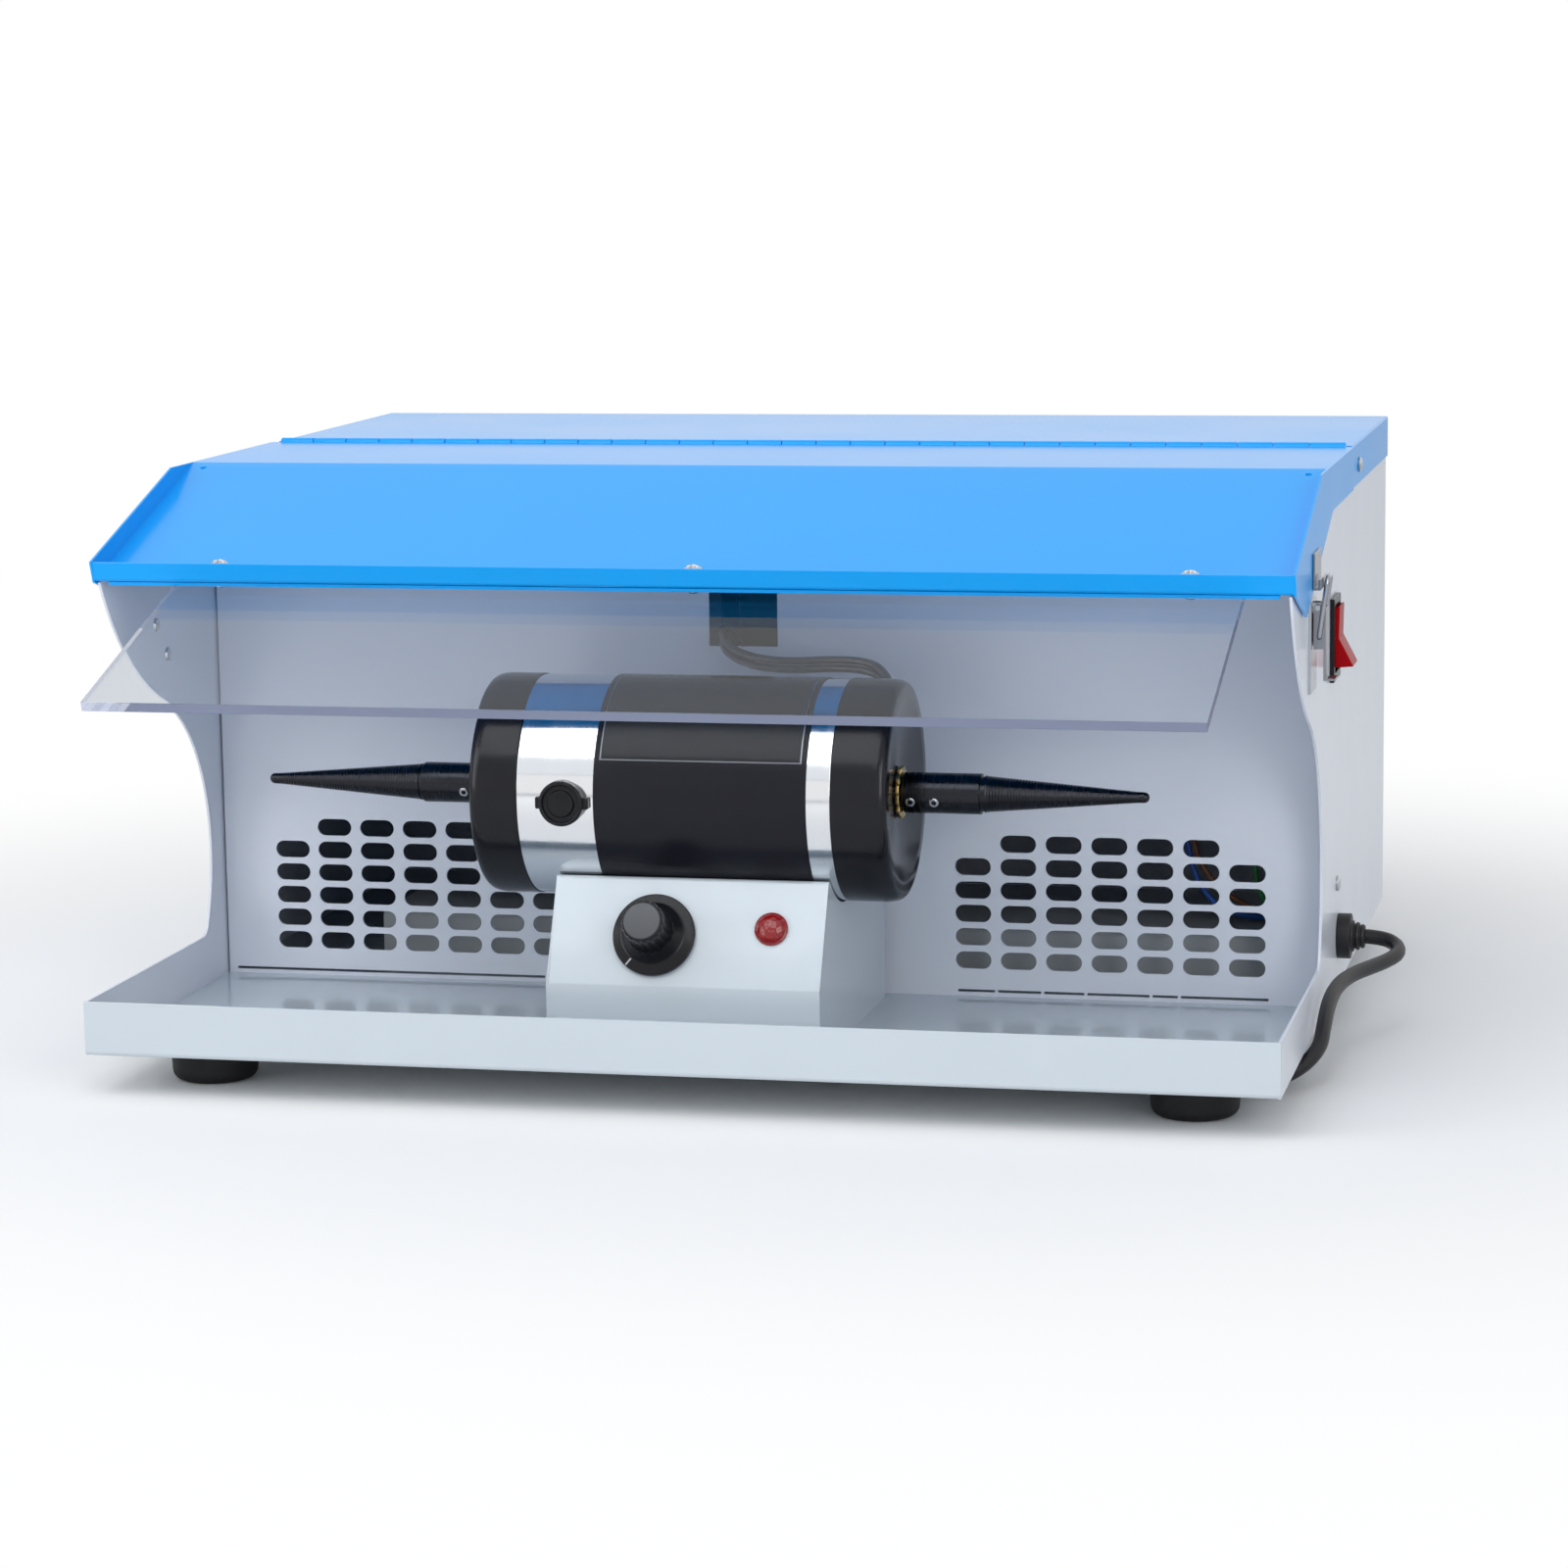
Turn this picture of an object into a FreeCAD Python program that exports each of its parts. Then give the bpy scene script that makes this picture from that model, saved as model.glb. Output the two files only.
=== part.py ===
import FreeCAD, Part
import math
import os
from FreeCAD import Vector, Placement, Rotation

# A bench polishing lathe in a dust cabinet: a double-ended motor on a control box
# stands in an open work bay, and a hinged hood with a clear visor covers the bay.
# Lengths are millimetres, angles degrees. While the pieces are made, x runs from the
# left side panel, y from the front lip to the back, and z from the underside of the case.

# Sheet-metal case
width = 500.0
depth = 440.0
body_height = 235.0
lip_height = 23.0
sheet = 1.2
bend_radius = 1.0
cover_sheet = 0.8
cover_flange = 19.0
cover_front = 269.2
foot_height = 18.0
foot_radius = 19.0
foot_base_radius = 18.2
foot_edge = 4.5
foot_inset_x = 40.0
foot_inset_y = 47.0
foot_recess = 7.0
foot_recess_depth = 8.0

# Scooped front edge of the side panels: a lower arc, a flare arc above it and a toe arc
scoop_y = 78.4
scoop_z = 61.0
scoop_radius = 77.7
flare_radius = 135.2
flare_angle = 69.73
toe_radius = 7.0
nose_y = 33.0

# Perforated wall behind the work bay
wall_y = 172.0
wall_gap = 0.8
wall_top_drop = 9.0
wall_top = body_height - wall_top_drop
wall_flange = 7.0
grille_slot_length = 15.8
grille_slot_height = 7.6
grille_pitch_x = 20.0
grille_pitch_z = 10.38
grille_top = 69.1
grille_margin = 34.0
grille_columns = 7
grille_rows = 6
foot_slot_z = 2.9
foot_slot_height = 1.2
foot_slot_left = 5.8
foot_slot_left_end = 150.9
foot_slot_right_inset = 24.7
foot_slot_right_length = 136.3
foot_slot_right_end = width - foot_slot_right_inset
foot_slot_right = foot_slot_right_end - foot_slot_right_length
foot_slot_tab = 1.4
foot_slot_tab_shares = (0.12, 0.27, 0.41, 0.62, 0.71)
notch_offset = -20.5
notch_width = 30.7
notch_drop = 29.5
notch_height = 44.0
notch_left = width / 2 + notch_offset
notch_bottom = wall_top - notch_drop - notch_height

# Ledge behind the wall, and the vent slots in the back
ledge_y = 190.0
ledge_z = 28.0
ledge_depth = 60.0
ledge_left = 70.0
ledge_right_inset = 28.0
ledge_right = width - ledge_right_inset
ledge_foot = 12.0
vent_slot_length = 96.0
vent_slot_height = 6.0
vent_pitch = 12.0
vent_count = 9

# Hood: flat top, sunken slope panel, front lip and side skirts
lid_sheet = 1.0
lid_side_gap = 0.8
lid_top_clearance = 0.5
lid_rear = 263.2
lid_bend_y = 155.0
lid_front_y = 33.6
lid_front_drop = 38.5
lid_front_z = body_height - lid_front_drop
lid_lip = 8.0
skirt_top_y = 128.3
skirt_nose_y = 29.8
skirt_nose_drop = 30.8
skirt_nose_z = body_height - skirt_nose_drop
skirt_tip_y = 71.7
skirt_tip_drop = 52.5
skirt_tip_z = body_height - skirt_tip_drop
skirt_knee_y = 173.8
skirt_knee_drop = 19.2
skirt_knee_z = body_height - skirt_knee_drop
skirt_rear_y = 263.0
skirt_rear_z = body_height - cover_flange
relief_hole = 1.4
relief_inset = 6.0

# Piano hinge between the hood and the rear cover
hinge_y = 266.2
hinge_z = body_height - cover_sheet
knuckle_radius = 2.6
hinge_pin_radius = 1.2
hinge_pin_fit = 0.05
knuckle_count = 31
knuckle_gap = 0.3
hinge_end = 2.0
hinge_leaf_width = 22.0
hinge_leaf_sheet = 1.0

# Clear visor, clamped under the slope panel
visor_left = 33.2
visor_right_inset = 19.8
visor_width = width - visor_left - visor_right_inset
visor_thickness = 4.0
visor_under = 24.0
visor_reach = 112.3
strip_thickness = 1.5
strip_width = 23.5
strip_inset = 5.0
visor_screw_line = 14.0
visor_screw_first = 49.2
visor_screw_last_inset = 42.2
visor_screw_count = 3
visor_screw_head = 4.0
visor_screw_head_height = 3.0
visor_nut_radius = 4.0
visor_nut_height = 4.0
screw_shank = 2.0
screw_head = 3.4
screw_head_height = 2.0

# Motor
motor_offset = -4.5
motor_x = width / 2 + motor_offset
motor_y = 86.0
motor_z = 105.2
tube_left_reach = 67.5
tube_right_reach = 65.5
tube_left = motor_x - tube_left_reach
tube_right = motor_x + tube_right_reach
tube_radius = 45.4
tube_wall = 3.0
sleeve_left_reach = 34.5
sleeve_right_reach = 55.5
sleeve_left = motor_x - sleeve_left_reach
sleeve_right = motor_x + sleeve_right_reach
sleeve_radius = 45.9
cap_reach = 88.5
cap_left_end = motor_x - cap_reach
cap_right_end = motor_x + cap_reach
cap_edge = 5.0
cap_wall = 6.0
cap_spigot = 6.0
cap_dish = 3.5
cap_face_radius = 38.0
cap_dish_radius = 13.0
cap_plate = 4.5
shaft_radius = 4.0
shaft_clearance = 0.8
bearing_radius = 11.0
bearing_width = 7.0
bearing_fit = 0.05
hub_wall = 4.0
stator_bore = 27.0
stator_left_reach = 29.5
stator_right_reach = 40.5
stator_left = motor_x - stator_left_reach
stator_right = motor_x + stator_right_reach
pole_slot = 12.0
air_gap = 0.8
armature_slots = 8
armature_slot = 4.0
armature_slot_depth = 7.0
commutator_radius = 14.0
commutator_width = 16.0
brush_offset = 47.5
brush_x = motor_x - brush_offset
brush_width = 6.0
brush_height = 8.0
brush_outer = 9.0
brush_gap = 0.3
brush_cap_radius = 9.5
brush_cap_proud = 4.2
brush_cap_rim = 1.6
brush_cap_recess = 1.4
brush_cap_disc = 5.6
brush_plug_radius = 6.0
brush_plug_length = 9.0
brush_ear = 2.2
brush_ear_out = 1.8
brush_ear_height = 5.0

# Taper spindles for the polishing wheels
spindle_cone = 68.5
spindle_reach = 87.5
spindle_end = motor_x + spindle_reach
spindle_sleeve = 33.0
spindle_radius = 8.5
spindle_neck = 7.3
spindle_groove = 1.5
spindle_cone_radius = 7.75
spindle_tip_radius = 2.25
spindle_point = 0.7
spindle_point_radius = 1.6
spindle_bore = 30.0
spindle_fit = 0.05
set_screw_radius = 2.0
set_screw_first = 4.0
set_screw_pitch = 10.0
set_screw_depth = 3.6
set_screw_sink = 0.4
set_screw_angle = 20.0
washer_radius = 11.0
washer_thickness = 1.5
washer_gap = 0.3
washer_dent = 1.6
washer_dents = 12

# Control box and cradle under the motor
box_reach = 58.0
box_left = width / 2 - box_reach
box_right = width / 2 + box_reach
box_front = 30.5
box_skirt = 31.0
box_top_y = 51.0
box_top = 72.6
box_rear = 164.0
motor_cut_gap = 0.4
knob_offset = -13.4
knob_x = width / 2 + knob_offset
knob_slope = 21.4
lamp_offset = 35.7
lamp_x = width / 2 + lamp_offset
lamp_slope = 25.7
knob_gap = 0.6
knob_skirt_radius = 17.5
knob_skirt = 2.6
knob_shoulder = 12.5
knob_shoulder_height = 6.0
knob_grip_radius = 9.6
knob_top_radius = 9.0
knob_height = 23.0
knob_recess_radius = 9.0
knob_recess = 4.4
knob_flute = 1.2
knob_edge = 0.8
knob_flutes = 12
pot_radius = 12.0
pot_depth = 13.0
pot_bush_radius = 4.5
pot_bush = 4.0
pot_shaft_radius = 3.0
pot_shaft_fit = 0.05
pot_shaft_out = 14.0
pot_shaft_in = 8.0
lamp_radius = 7.0
lamp_dome = 3.0
lamp_shoulder = 1.8
lamp_shoulder_radius = 4.9
lamp_flat_radius = 2.45
lamp_rim = 1.2
lamp_body_radius = 6.0
lamp_body = 16.0
hole_gap = 0.1
cradle_left_reach = 23.5
cradle_right_reach = 35.5
cradle_left = motor_x - cradle_left_reach
cradle_right = motor_x + cradle_right_reach
cradle_web = 3.0
cradle_front = 62.0
cradle_rear = 110.0
cradle_shoulder = 64.0
cradle_base = 3.0
bolt_radius = 2.5
bolt_head = 4.5
bolt_head_height = 3.0
bolt_inset = 8.0
board_inset = 14.0
board_left = box_left + board_inset
board_length = 70.0
board_front = 118.0
board_width = 40.0
board_thickness = 1.6
board_standoff = 5.0
board_standoff_radius = 3.0
heat_sink_height = 26.0
heat_sink_width = 14.0
relay_size = 16.0

# Fan and filter at the back
fan_x = width / 2
fan_z = 118.0
fan_size = 120.0
fan_depth = 38.0
fan_bore = 57.5
fan_wall = 2.5
fan_flange = 5.0
fan_hub = 24.0
fan_hub_wall = 3.0
fan_plate = 4.0
fan_strut = 6.0
fan_struts = 4
fan_stator = 17.0
fan_stator_depth = 14.0
fan_pin_radius = 2.0
fan_pin_fit = 0.05
fan_boss = 5.0
fan_tip_gap = 2.5
fan_blades = 7
fan_blade_thickness = 2.0
fan_blade_chord = 26.0
fan_blade_pitch = 40.0
fan_hub_depth = 24.0
fan_front_gap = 4.0
filter_size = 130.0
filter_depth = 22.0
filter_border = 6.0
filter_lip = 2.0
filter_bar = 4.0

# Wiring inside the case
wire_radius = 1.2
terminal_offset = 26.0
terminal_left = width / 2 + terminal_offset
terminal_length = 36.0
terminal_y = 214.0
terminal_width = 18.0
terminal_height = 15.0
terminal_hole = 2.2
terminal_ways = 3
cable_radius = 1.7
cable_pair = 3.6

# Rocker switch on the right side panel
switch_y = 193.5
switch_z = 159.0
switch_width = 27.0
switch_height = 36.0
switch_border = 3.4
switch_bezel = 2.0
switch_body_depth = 20.0
switch_wall = 1.6
rocker_gap = 0.5
rocker_centre = 3.6
rocker_end = 7.0
rocker_half = 13.2
rocker_root = 12.2
rocker_back = 6.0
rocker_back_half = 8.0
rocker_tilt = 13.0
spade_length = 8.0
spade_width = 6.3
spade_thickness = 0.8
spade_pitch = 10.0

# Draw latches on both side panels, the hood's keepers
keeper_width = 25.0
keeper_drop = 44.0
keeper_height = 15.0
keeper_bottom = body_height - keeper_drop
keeper_top = keeper_bottom + keeper_height
keeper_out = 3.4
keeper_lip = 4.5
keeper_plate = 1.0
latch_y = 104.5
latch_pivot_out = 3.2
latch_pivot_drop = 8.0
latch_pivot_z = keeper_bottom - latch_pivot_drop
latch_base_width = 22.0
latch_base_height = 38.0
latch_base_rise = 3.0
latch_base_top = latch_pivot_z + latch_base_rise
latch_base_bottom = latch_base_top - latch_base_height
latch_plate = 1.2
latch_ear_radius = 2.0
latch_ear_inset = 1.3
latch_ear_thickness = 1.0
latch_pin_radius = 1.2
latch_pin_fit = 0.05
lever_width = 11.0
lever_plate = 0.9
lever_inside = 1.6
lever_outside = 6.5
lever_length = 29.0
lever_cheek_length = 17.0
lever_bottom = latch_pivot_z - lever_length
lever_cheek_bottom = latch_pivot_z - lever_cheek_length
lever_lip_out = 10.5
bail_radius = 1.0
bail_gap = 0.3
bail_out = 3.9
bail_drop = 12.0
bail_z = latch_pivot_z - bail_drop
bail_length = 25.0
bail_tilt = 8.0
bail_corner = 3.0
bail_foot_bend = 1.2
bail_stub = 1.2
rivet_radius = 1.5
rivet_head = 3.0
rivet_head_height = 1.2
rivet_front_y = 97.2
rivet_front_drop = 15.1
rivet_front_z = latch_pivot_z - rivet_front_drop
rivet_rear_y = 110.0
rivet_rear_drop = 29.5
rivet_rear_z = latch_pivot_z - rivet_rear_drop

# Case screws: hood cover flanges, back and earth point
cover_screw_y = 295.3
cover_screw_drop = 10.5
cover_screw_z = body_height - cover_screw_drop
earth_screw_y = 215.0
earth_screw_z = 47.7
back_screw_inset = 40.0
foot_screw_radius = 2.2
foot_screw_head = 4.5

# Mains cord, its gland and plug
gland_y = 222.0
gland_z = 23.0
gland_radius = 10.0
gland_collar = 6.0
gland_taper_radius = 7.2
gland_reach = 12.0
gland_tip_radius = 4.6
gland_nut_radius = 9.5
gland_nut = 4.0
gland_inner = 10.0
gland_thread = 6.0
cord_radius = 3.25
cord_trim_share = 0.45
coil_radius = 46.0
coil_pitch = 7.0
coil_turns = 2
coil_dip = 0.9
coil_layer = 7.0
coil_upper_quarters = 7
coil_tail = 28.0
coil_step_share = 0.02
coil_probe_count = 600
plug_neck = 14.0
plug_neck_radius = 6.0
plug_neck_start = 3.75
plug_length = 34.0
plug_width = 24.0
plug_edge = 4.0
blade_length = 16.0
blade_width = 6.3
blade_thickness = 1.5
blade_pitch = 12.7
earth_pin_radius = 2.4
earth_pin_length = 20.0
earth_pin_drop = 6.0

# One overrun serves every cut, one small gap sets pieces down without touching
over = 5.0
rest_gap = 0.3

# The cord lies on the surface that the feet stand on, and x is counted here from the
# outside of the right side panel, inwards as negative
floor_z = -foot_height
cord_route = [
    (gland_reach, gland_y, gland_z), (20, 222, 22.6), (26.5, 217, 20.6), (28, 208, 18.6),
    (24, 197, 17.4), (17.5, 184, 16.8), (11, 169, 16.4), (6.8, 152, 15.2), (5.3, 134, 12.2),
    (5, 117, 6.5), (4.8, 103, -1.8), (-3, 91, -8.5), (-16, 84, -13), (-33, 84.5, -14.75),
    (-49, 92, -14.75), (-62, 104, -14.75), (-71, 120, -14.75), (-77, 141, -14.75),
    (-80, 168, -14.75), (-79, 202, -14.75), (-75, 244, -14.75), (-76, 289, -14.75),
    (-82, 335, -14.75), (-85, 384, -14.75), (-80, 428, -14.75), (-64, 468, -14.75),
    (-64, 500, -14.75),
]
wire_routes = {
    "wire_brown": [(-11.9, 224, 26), (-21, 221, 29.5), (-30.5, 215, 33), (-42, 212, 38.5),
                   (-50.5, 211, 44.5), (-57.5, 210.5, 52.5), (-62, 210, 63), (-63, 208.5, 77),
                   (-60, 205, 94), (-53, 201, 110), (-43, 197.5, 121), (-33.5, 195, 129.5),
                   (-27, 194, 138), (-24.5, 193.5, 148)],
    "wire_blue": [(-12.1, 221, 21), (-21, 221.5, 25.5), (-30, 220, 30.6), (-39, 217.5, 31.2),
                  (-47.5, 215.5, 33.6), (-55, 214, 38.8), (-60, 213, 46), (-63.5, 212, 55),
                  (-65.5, 211.5, 67), (-69, 211, 80), (-76, 211, 91), (-88, 211, 99),
                  (-103, 211.5, 103), (-119, 212, 102), (-134, 213, 97), (-148, 214.5, 88.5),
                  (-159, 216.5, 77), (-167, 219, 64), (-172, 221.5, 52), (-178, 222.9, 41.8),
                  (-187, 223, 37)],
    "wire_green": [(-12, 218, 24.5), (-20.5, 215.5, 28.5), (-27.5, 213, 34), (-32.5, 211, 41.5),
                   (-35, 210.5, 50.5), (-35.4, 210.5, 60.5), (-34.5, 211, 70.5), (-30.5, 212, 79),
                   (-23.5, 213, 83), (-15.5, 214, 81.5), (-10.4, 214.5, 74), (-6.8, 215, 62),
                   (-6, 215, 50.1)],
}

# The motor's flex is counted from the motor's middle, over the notch down to the terminals
cable_route = [
    (76.5, 113, 144), (72.5, 118, 149.5), (62.5, 122, 152), (46.5, 127, 151.5), (26.5, 140, 148.5),
    (6.5, 150, 149), (-5.5, 158, 153.5), (-9.5, 168, 158.5), (-9.5, 178, 159.5),
    (-5, 186.5, 153), (-1.5, 194, 139), (0.5, 201, 120), (1.5, 208, 99), (2.5, 214, 78),
    (4.5, 219, 59), (10.5, 222.5, 44.5), (20, 223, 37), (30.2, 223, 37),
]


def box(x0, x1, y0, y1, z0, z1):
    return Part.makeBox(x1 - x0, y1 - y0, z1 - z0, Vector(x0, y0, z0))


def rod_x(x0, x1, y, z, radius):
    return Part.makeCylinder(radius, x1 - x0, Vector(x0, y, z), Vector(1, 0, 0))


def rod_y(y0, y1, x, z, radius):
    return Part.makeCylinder(radius, y1 - y0, Vector(x, y0, z), Vector(0, 1, 0))


def rod_z(z0, z1, x, y, radius):
    return Part.makeCylinder(radius, z1 - z0, Vector(x, y, z0), Vector(0, 0, 1))


def line(a, b):
    return Part.makeLine(a, b)


def arc(a, middle, b):
    return Part.Arc(a, middle, b).toShape()


def fused(shapes):
    first, *rest = shapes
    return first.multiFuse(rest).removeSplitter() if rest else first


def group(shapes):
    return Part.makeCompound(shapes)


def prism_x(points, x0, x1):
    """A polygon of (y, z) points, carried from x0 to x1."""
    corners = [Vector(x0, y, z) for y, z in points]
    return Part.Face(Part.makePolygon(corners + corners[:1])).extrude(Vector(x1 - x0, 0, 0))


def turned(profile, origin, direction):
    """A closed outline of (along, radius) points, turned about an axis."""
    corners = [Vector(radius, 0, along) for along, radius in profile]
    face = Part.Face(Part.makePolygon(corners + corners[:1]))
    solid = face.revolve(Vector(0, 0, 0), Vector(0, 0, 1), 360)
    solid.Placement = Placement(Vector(*origin), Rotation(Vector(0, 0, 1), Vector(*direction)))
    return solid


def rounded(radius, start_angle, end_angle, centre_along, centre_radius, steps=4):
    """Points along a quarter arc of an outline, for edges that are turned."""
    points = []
    for i in range(steps + 1):
        angle = math.radians(start_angle + (end_angle - start_angle) * i / steps)
        points.append((centre_along + radius * math.cos(angle),
                       centre_radius + radius * math.sin(angle)))
    return points


def folded(points, thickness, x0, x1):
    """Sheet metal folded along a line of (y, z) points, the sheet on the line's left."""
    spots = [Vector(x0, y, z) for y, z in points]
    ways = [(b - a).normalize() for a, b in zip(spots, spots[1:])]
    lefts = [Vector(0, -way.z, way.y) for way in ways]
    trims = [0.0]
    turns = [0.0]
    for before, after in zip(ways, ways[1:]):
        cross = before.y * after.z - before.z * after.y
        turn = math.atan2(cross, before.dot(after))
        line_radius = bend_radius + thickness if turn > 0 else bend_radius
        turns.append(turn)
        trims.append(line_radius * math.tan(abs(turn) / 2))
    trims.append(0.0)
    turns.append(0.0)
    near = []
    far = []
    for i, way in enumerate(ways):
        start = spots[i] + way * trims[i]
        end = spots[i + 1] - way * trims[i + 1]
        shift = lefts[i] * thickness
        near.append(line(start, end))
        far.insert(0, line(end + shift, start + shift))
        if i + 1 < len(ways):
            side = math.copysign(1, turns[i + 1])
            near_radius = bend_radius + thickness if side > 0 else bend_radius
            far_radius = near_radius - side * thickness
            centre = end + lefts[i] * side * near_radius
            outward = (spots[i + 1] - centre).normalize()
            next_start = spots[i + 1] + ways[i + 1] * trims[i + 1]
            next_shift = lefts[i + 1] * thickness
            near.append(arc(end, centre + outward * near_radius, next_start))
            far.insert(0, arc(next_start + next_shift, centre + outward * far_radius, end + shift))
    first = spots[0]
    last = spots[-1]
    close_end = line(last, last + lefts[-1] * thickness)
    close_start = line(first + lefts[0] * thickness, first)
    wire = Part.Wire(near + [close_end] + far + [close_start])
    return Part.Face(wire).extrude(Vector(x1 - x0, 0, 0))


def tube_along(points, radius):
    """A round tube along straight runs, joined by arcs that touch both runs."""
    spots = [Vector(*p) for p in points]
    runs = [(b - a).Length for a, b in zip(spots, spots[1:])]
    edges = []
    radii = []
    start = spots[0]
    for i in range(1, len(spots) - 1):
        back = (spots[i - 1] - spots[i]).normalize()
        ahead = (spots[i + 1] - spots[i]).normalize()
        trim = cord_trim_share * min(runs[i - 1], runs[i])
        half_turn = (math.pi - back.getAngle(ahead)) / 2
        arc_radius = trim / math.tan(half_turn)
        inward = (back + ahead).normalize()
        middle = spots[i] + inward * (arc_radius / math.cos(half_turn) - arc_radius)
        edges.append(line(start, spots[i] + back * trim))
        edges.append(arc(spots[i] + back * trim, middle, spots[i] + ahead * trim))
        radii.append(arc_radius)
        start = spots[i] + ahead * trim
    edges.append(line(start, spots[-1]))
    path = Part.Wire(edges)
    return swept(path, radius), path.Length, radii


def swept(path, radius):
    first = path.Edges[0]
    begin = first.valueAt(first.FirstParameter)
    way = first.tangentAt(first.FirstParameter)
    ring = Part.Wire(Part.makeCircle(radius, begin, way))
    return Part.Wire(path.Edges).makePipeShell([ring], True, False)


def moved_by(x0, points):
    """Points whose x is counted from x0."""
    return [(x0 + x, y, z) for x, y, z in points]


def two_arcs(start, start_way, end, end_way):
    """Two arcs in a row that leave start and reach end along the given directions."""
    chord = end - start
    both = start_way + end_way
    a = 2 * (1 - start_way.dot(end_way))
    b = 2 * chord.dot(both)
    c = -chord.dot(chord)
    reach = (-b + math.sqrt(b * b - 4 * a * c)) / (2 * a)
    knee_start = start + start_way * reach
    knee_end = end - end_way * reach
    joint = (knee_start + knee_end) * 0.5
    edges = []
    for p, knee, q in ((start, knee_start, joint), (joint, knee_end, end)):
        back = (p - knee).normalize()
        ahead = (q - knee).normalize()
        half_turn = (math.pi - back.getAngle(ahead)) / 2
        arc_radius = (p - knee).Length / math.tan(half_turn)
        inward = (back + ahead).normalize()
        edges.append(arc(p, knee + inward * (arc_radius / math.cos(half_turn) - arc_radius), q))
    return edges


def stadium(x, z, length, height, y):
    """A slot outline with round ends, in the plane of a wall at y."""
    half = length / 2 - height / 2
    r = height / 2
    a = Vector(x - half, y, z - r)
    b = Vector(x + half, y, z - r)
    c = Vector(x + half, y, z + r)
    d = Vector(x - half, y, z + r)
    right = Vector(x + half + r, y, z)
    left = Vector(x - half - r, y, z)
    return Part.Wire([line(a, b), arc(b, right, c), line(c, d), arc(d, left, a)])


def rectangle(x0, x1, z0, z1, y):
    corners = [Vector(x0, y, z0), Vector(x1, y, z0), Vector(x1, y, z1), Vector(x0, y, z1)]
    return Part.makePolygon(corners + corners[:1])


def holed_plate(outline, holes, thickness):
    face = Part.makeFace([outline] + holes, "Part::FaceMakerBullseye")
    return face.extrude(Vector(0, thickness, 0))


# Directions on the two sloping planes, as (y, z) pairs
hood_slope = math.atan2(body_height - lid_front_z, lid_bend_y - lid_front_y)
box_slope = math.atan2(box_top - box_skirt, box_top_y - box_front)


def hood_spot(along, up):
    """A (y, z) point, measured up the hood's slope panel from its front and out of it."""
    return (lid_front_y + along * math.cos(hood_slope) - up * math.sin(hood_slope),
            lid_front_z + along * math.sin(hood_slope) + up * math.cos(hood_slope))


def hood_slab(along0, along1, up0, up1, x0, x1):
    corners = [hood_spot(along0, up0), hood_spot(along1, up0),
               hood_spot(along1, up1), hood_spot(along0, up1)]
    return prism_x(corners, x0, x1)


def box_face_spot(x, up_slope):
    """A point on the control box's sloping face, measured up from the skirt's fold."""
    return (x, box_front + up_slope * math.cos(box_slope), box_skirt + up_slope * math.sin(box_slope))


face_out = (0, -math.sin(box_slope), math.cos(box_slope))


def make_base_tray():
    points = [(0, lip_height), (0, 0), (depth - sheet, 0)]
    tray = folded(points, sheet, 0, width)
    sides = [box(-over, sheet, sheet, depth + over, -over, lip_height + over),
             box(width - sheet, width + over, sheet, depth + over, -over, lip_height + over)]
    holes = []
    for x, y in foot_places():
        holes.append(rod_z(-over, over, x, y, foot_screw_radius + hole_gap))
    return tray.cut(group(sides + holes))


def foot_places():
    places = []
    for x in (foot_inset_x, width - foot_inset_x):
        for y in (foot_inset_y, depth - foot_inset_y):
            places.append((x, y))
    return places


def side_outline(x):
    flare = math.radians(flare_angle)
    scoop = Vector(x, scoop_y, scoop_z)
    flare_centre = scoop + Vector(0, math.cos(flare), math.sin(flare)) * (scoop_radius + flare_radius)
    meet = scoop + Vector(0, math.cos(flare), math.sin(flare)) * scoop_radius
    toe_z = lip_height + toe_radius
    reach = scoop_radius - toe_radius
    toe_y = scoop_y + math.sqrt(reach ** 2 - (toe_z - scoop_z) ** 2)
    toe = Vector(x, toe_y, toe_z)
    toe_way = (toe - scoop).normalize()
    toe_end = scoop + toe_way * scoop_radius
    toe_middle_way = (toe_way + Vector(0, 0, -1)).normalize()
    nose_z = flare_centre.z - math.sqrt(flare_radius ** 2 - (flare_centre.y - nose_y) ** 2)
    nose = Vector(x, nose_y, nose_z)
    flare_way = ((nose - flare_centre).normalize() + (meet - flare_centre).normalize()).normalize()
    scoop_way = ((meet - scoop).normalize() + toe_way).normalize()
    toe_start = Vector(x, toe_y, lip_height)
    corners = [Vector(x, sheet, lip_height), Vector(x, sheet, 0), Vector(x, depth, 0),
               Vector(x, depth, body_height), Vector(x, nose_y, body_height)]
    edges = [line(toe_start, corners[0])]
    edges += [line(a, b) for a, b in zip(corners, corners[1:])]
    edges.append(line(corners[-1], nose))
    edges.append(arc(nose, flare_centre + flare_way * flare_radius, meet))
    edges.append(arc(meet, scoop + scoop_way * scoop_radius, toe_end))
    edges.append(arc(toe_end, toe + toe_middle_way * toe_radius, toe_start))
    return Part.Wire(edges)


def under_hood(x0, x1):
    """All that lies above the underside of the hood and the rear cover."""
    clear = lid_sheet + lid_top_clearance
    front = hood_spot(-visor_reach, -clear)
    knee_z = body_height - clear
    knee_along = (lid_bend_y - lid_front_y) / math.cos(hood_slope) - clear * math.tan(hood_slope / 2)
    knee = hood_spot(knee_along, -clear)
    cover_z = body_height - cover_sheet
    top = body_height + over
    points = [front, (knee[0], knee_z), (cover_front, knee_z), (cover_front, cover_z),
              (depth + over, cover_z), (depth + over, top), (front[0], top)]
    return prism_x(points, x0, x1)


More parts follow.
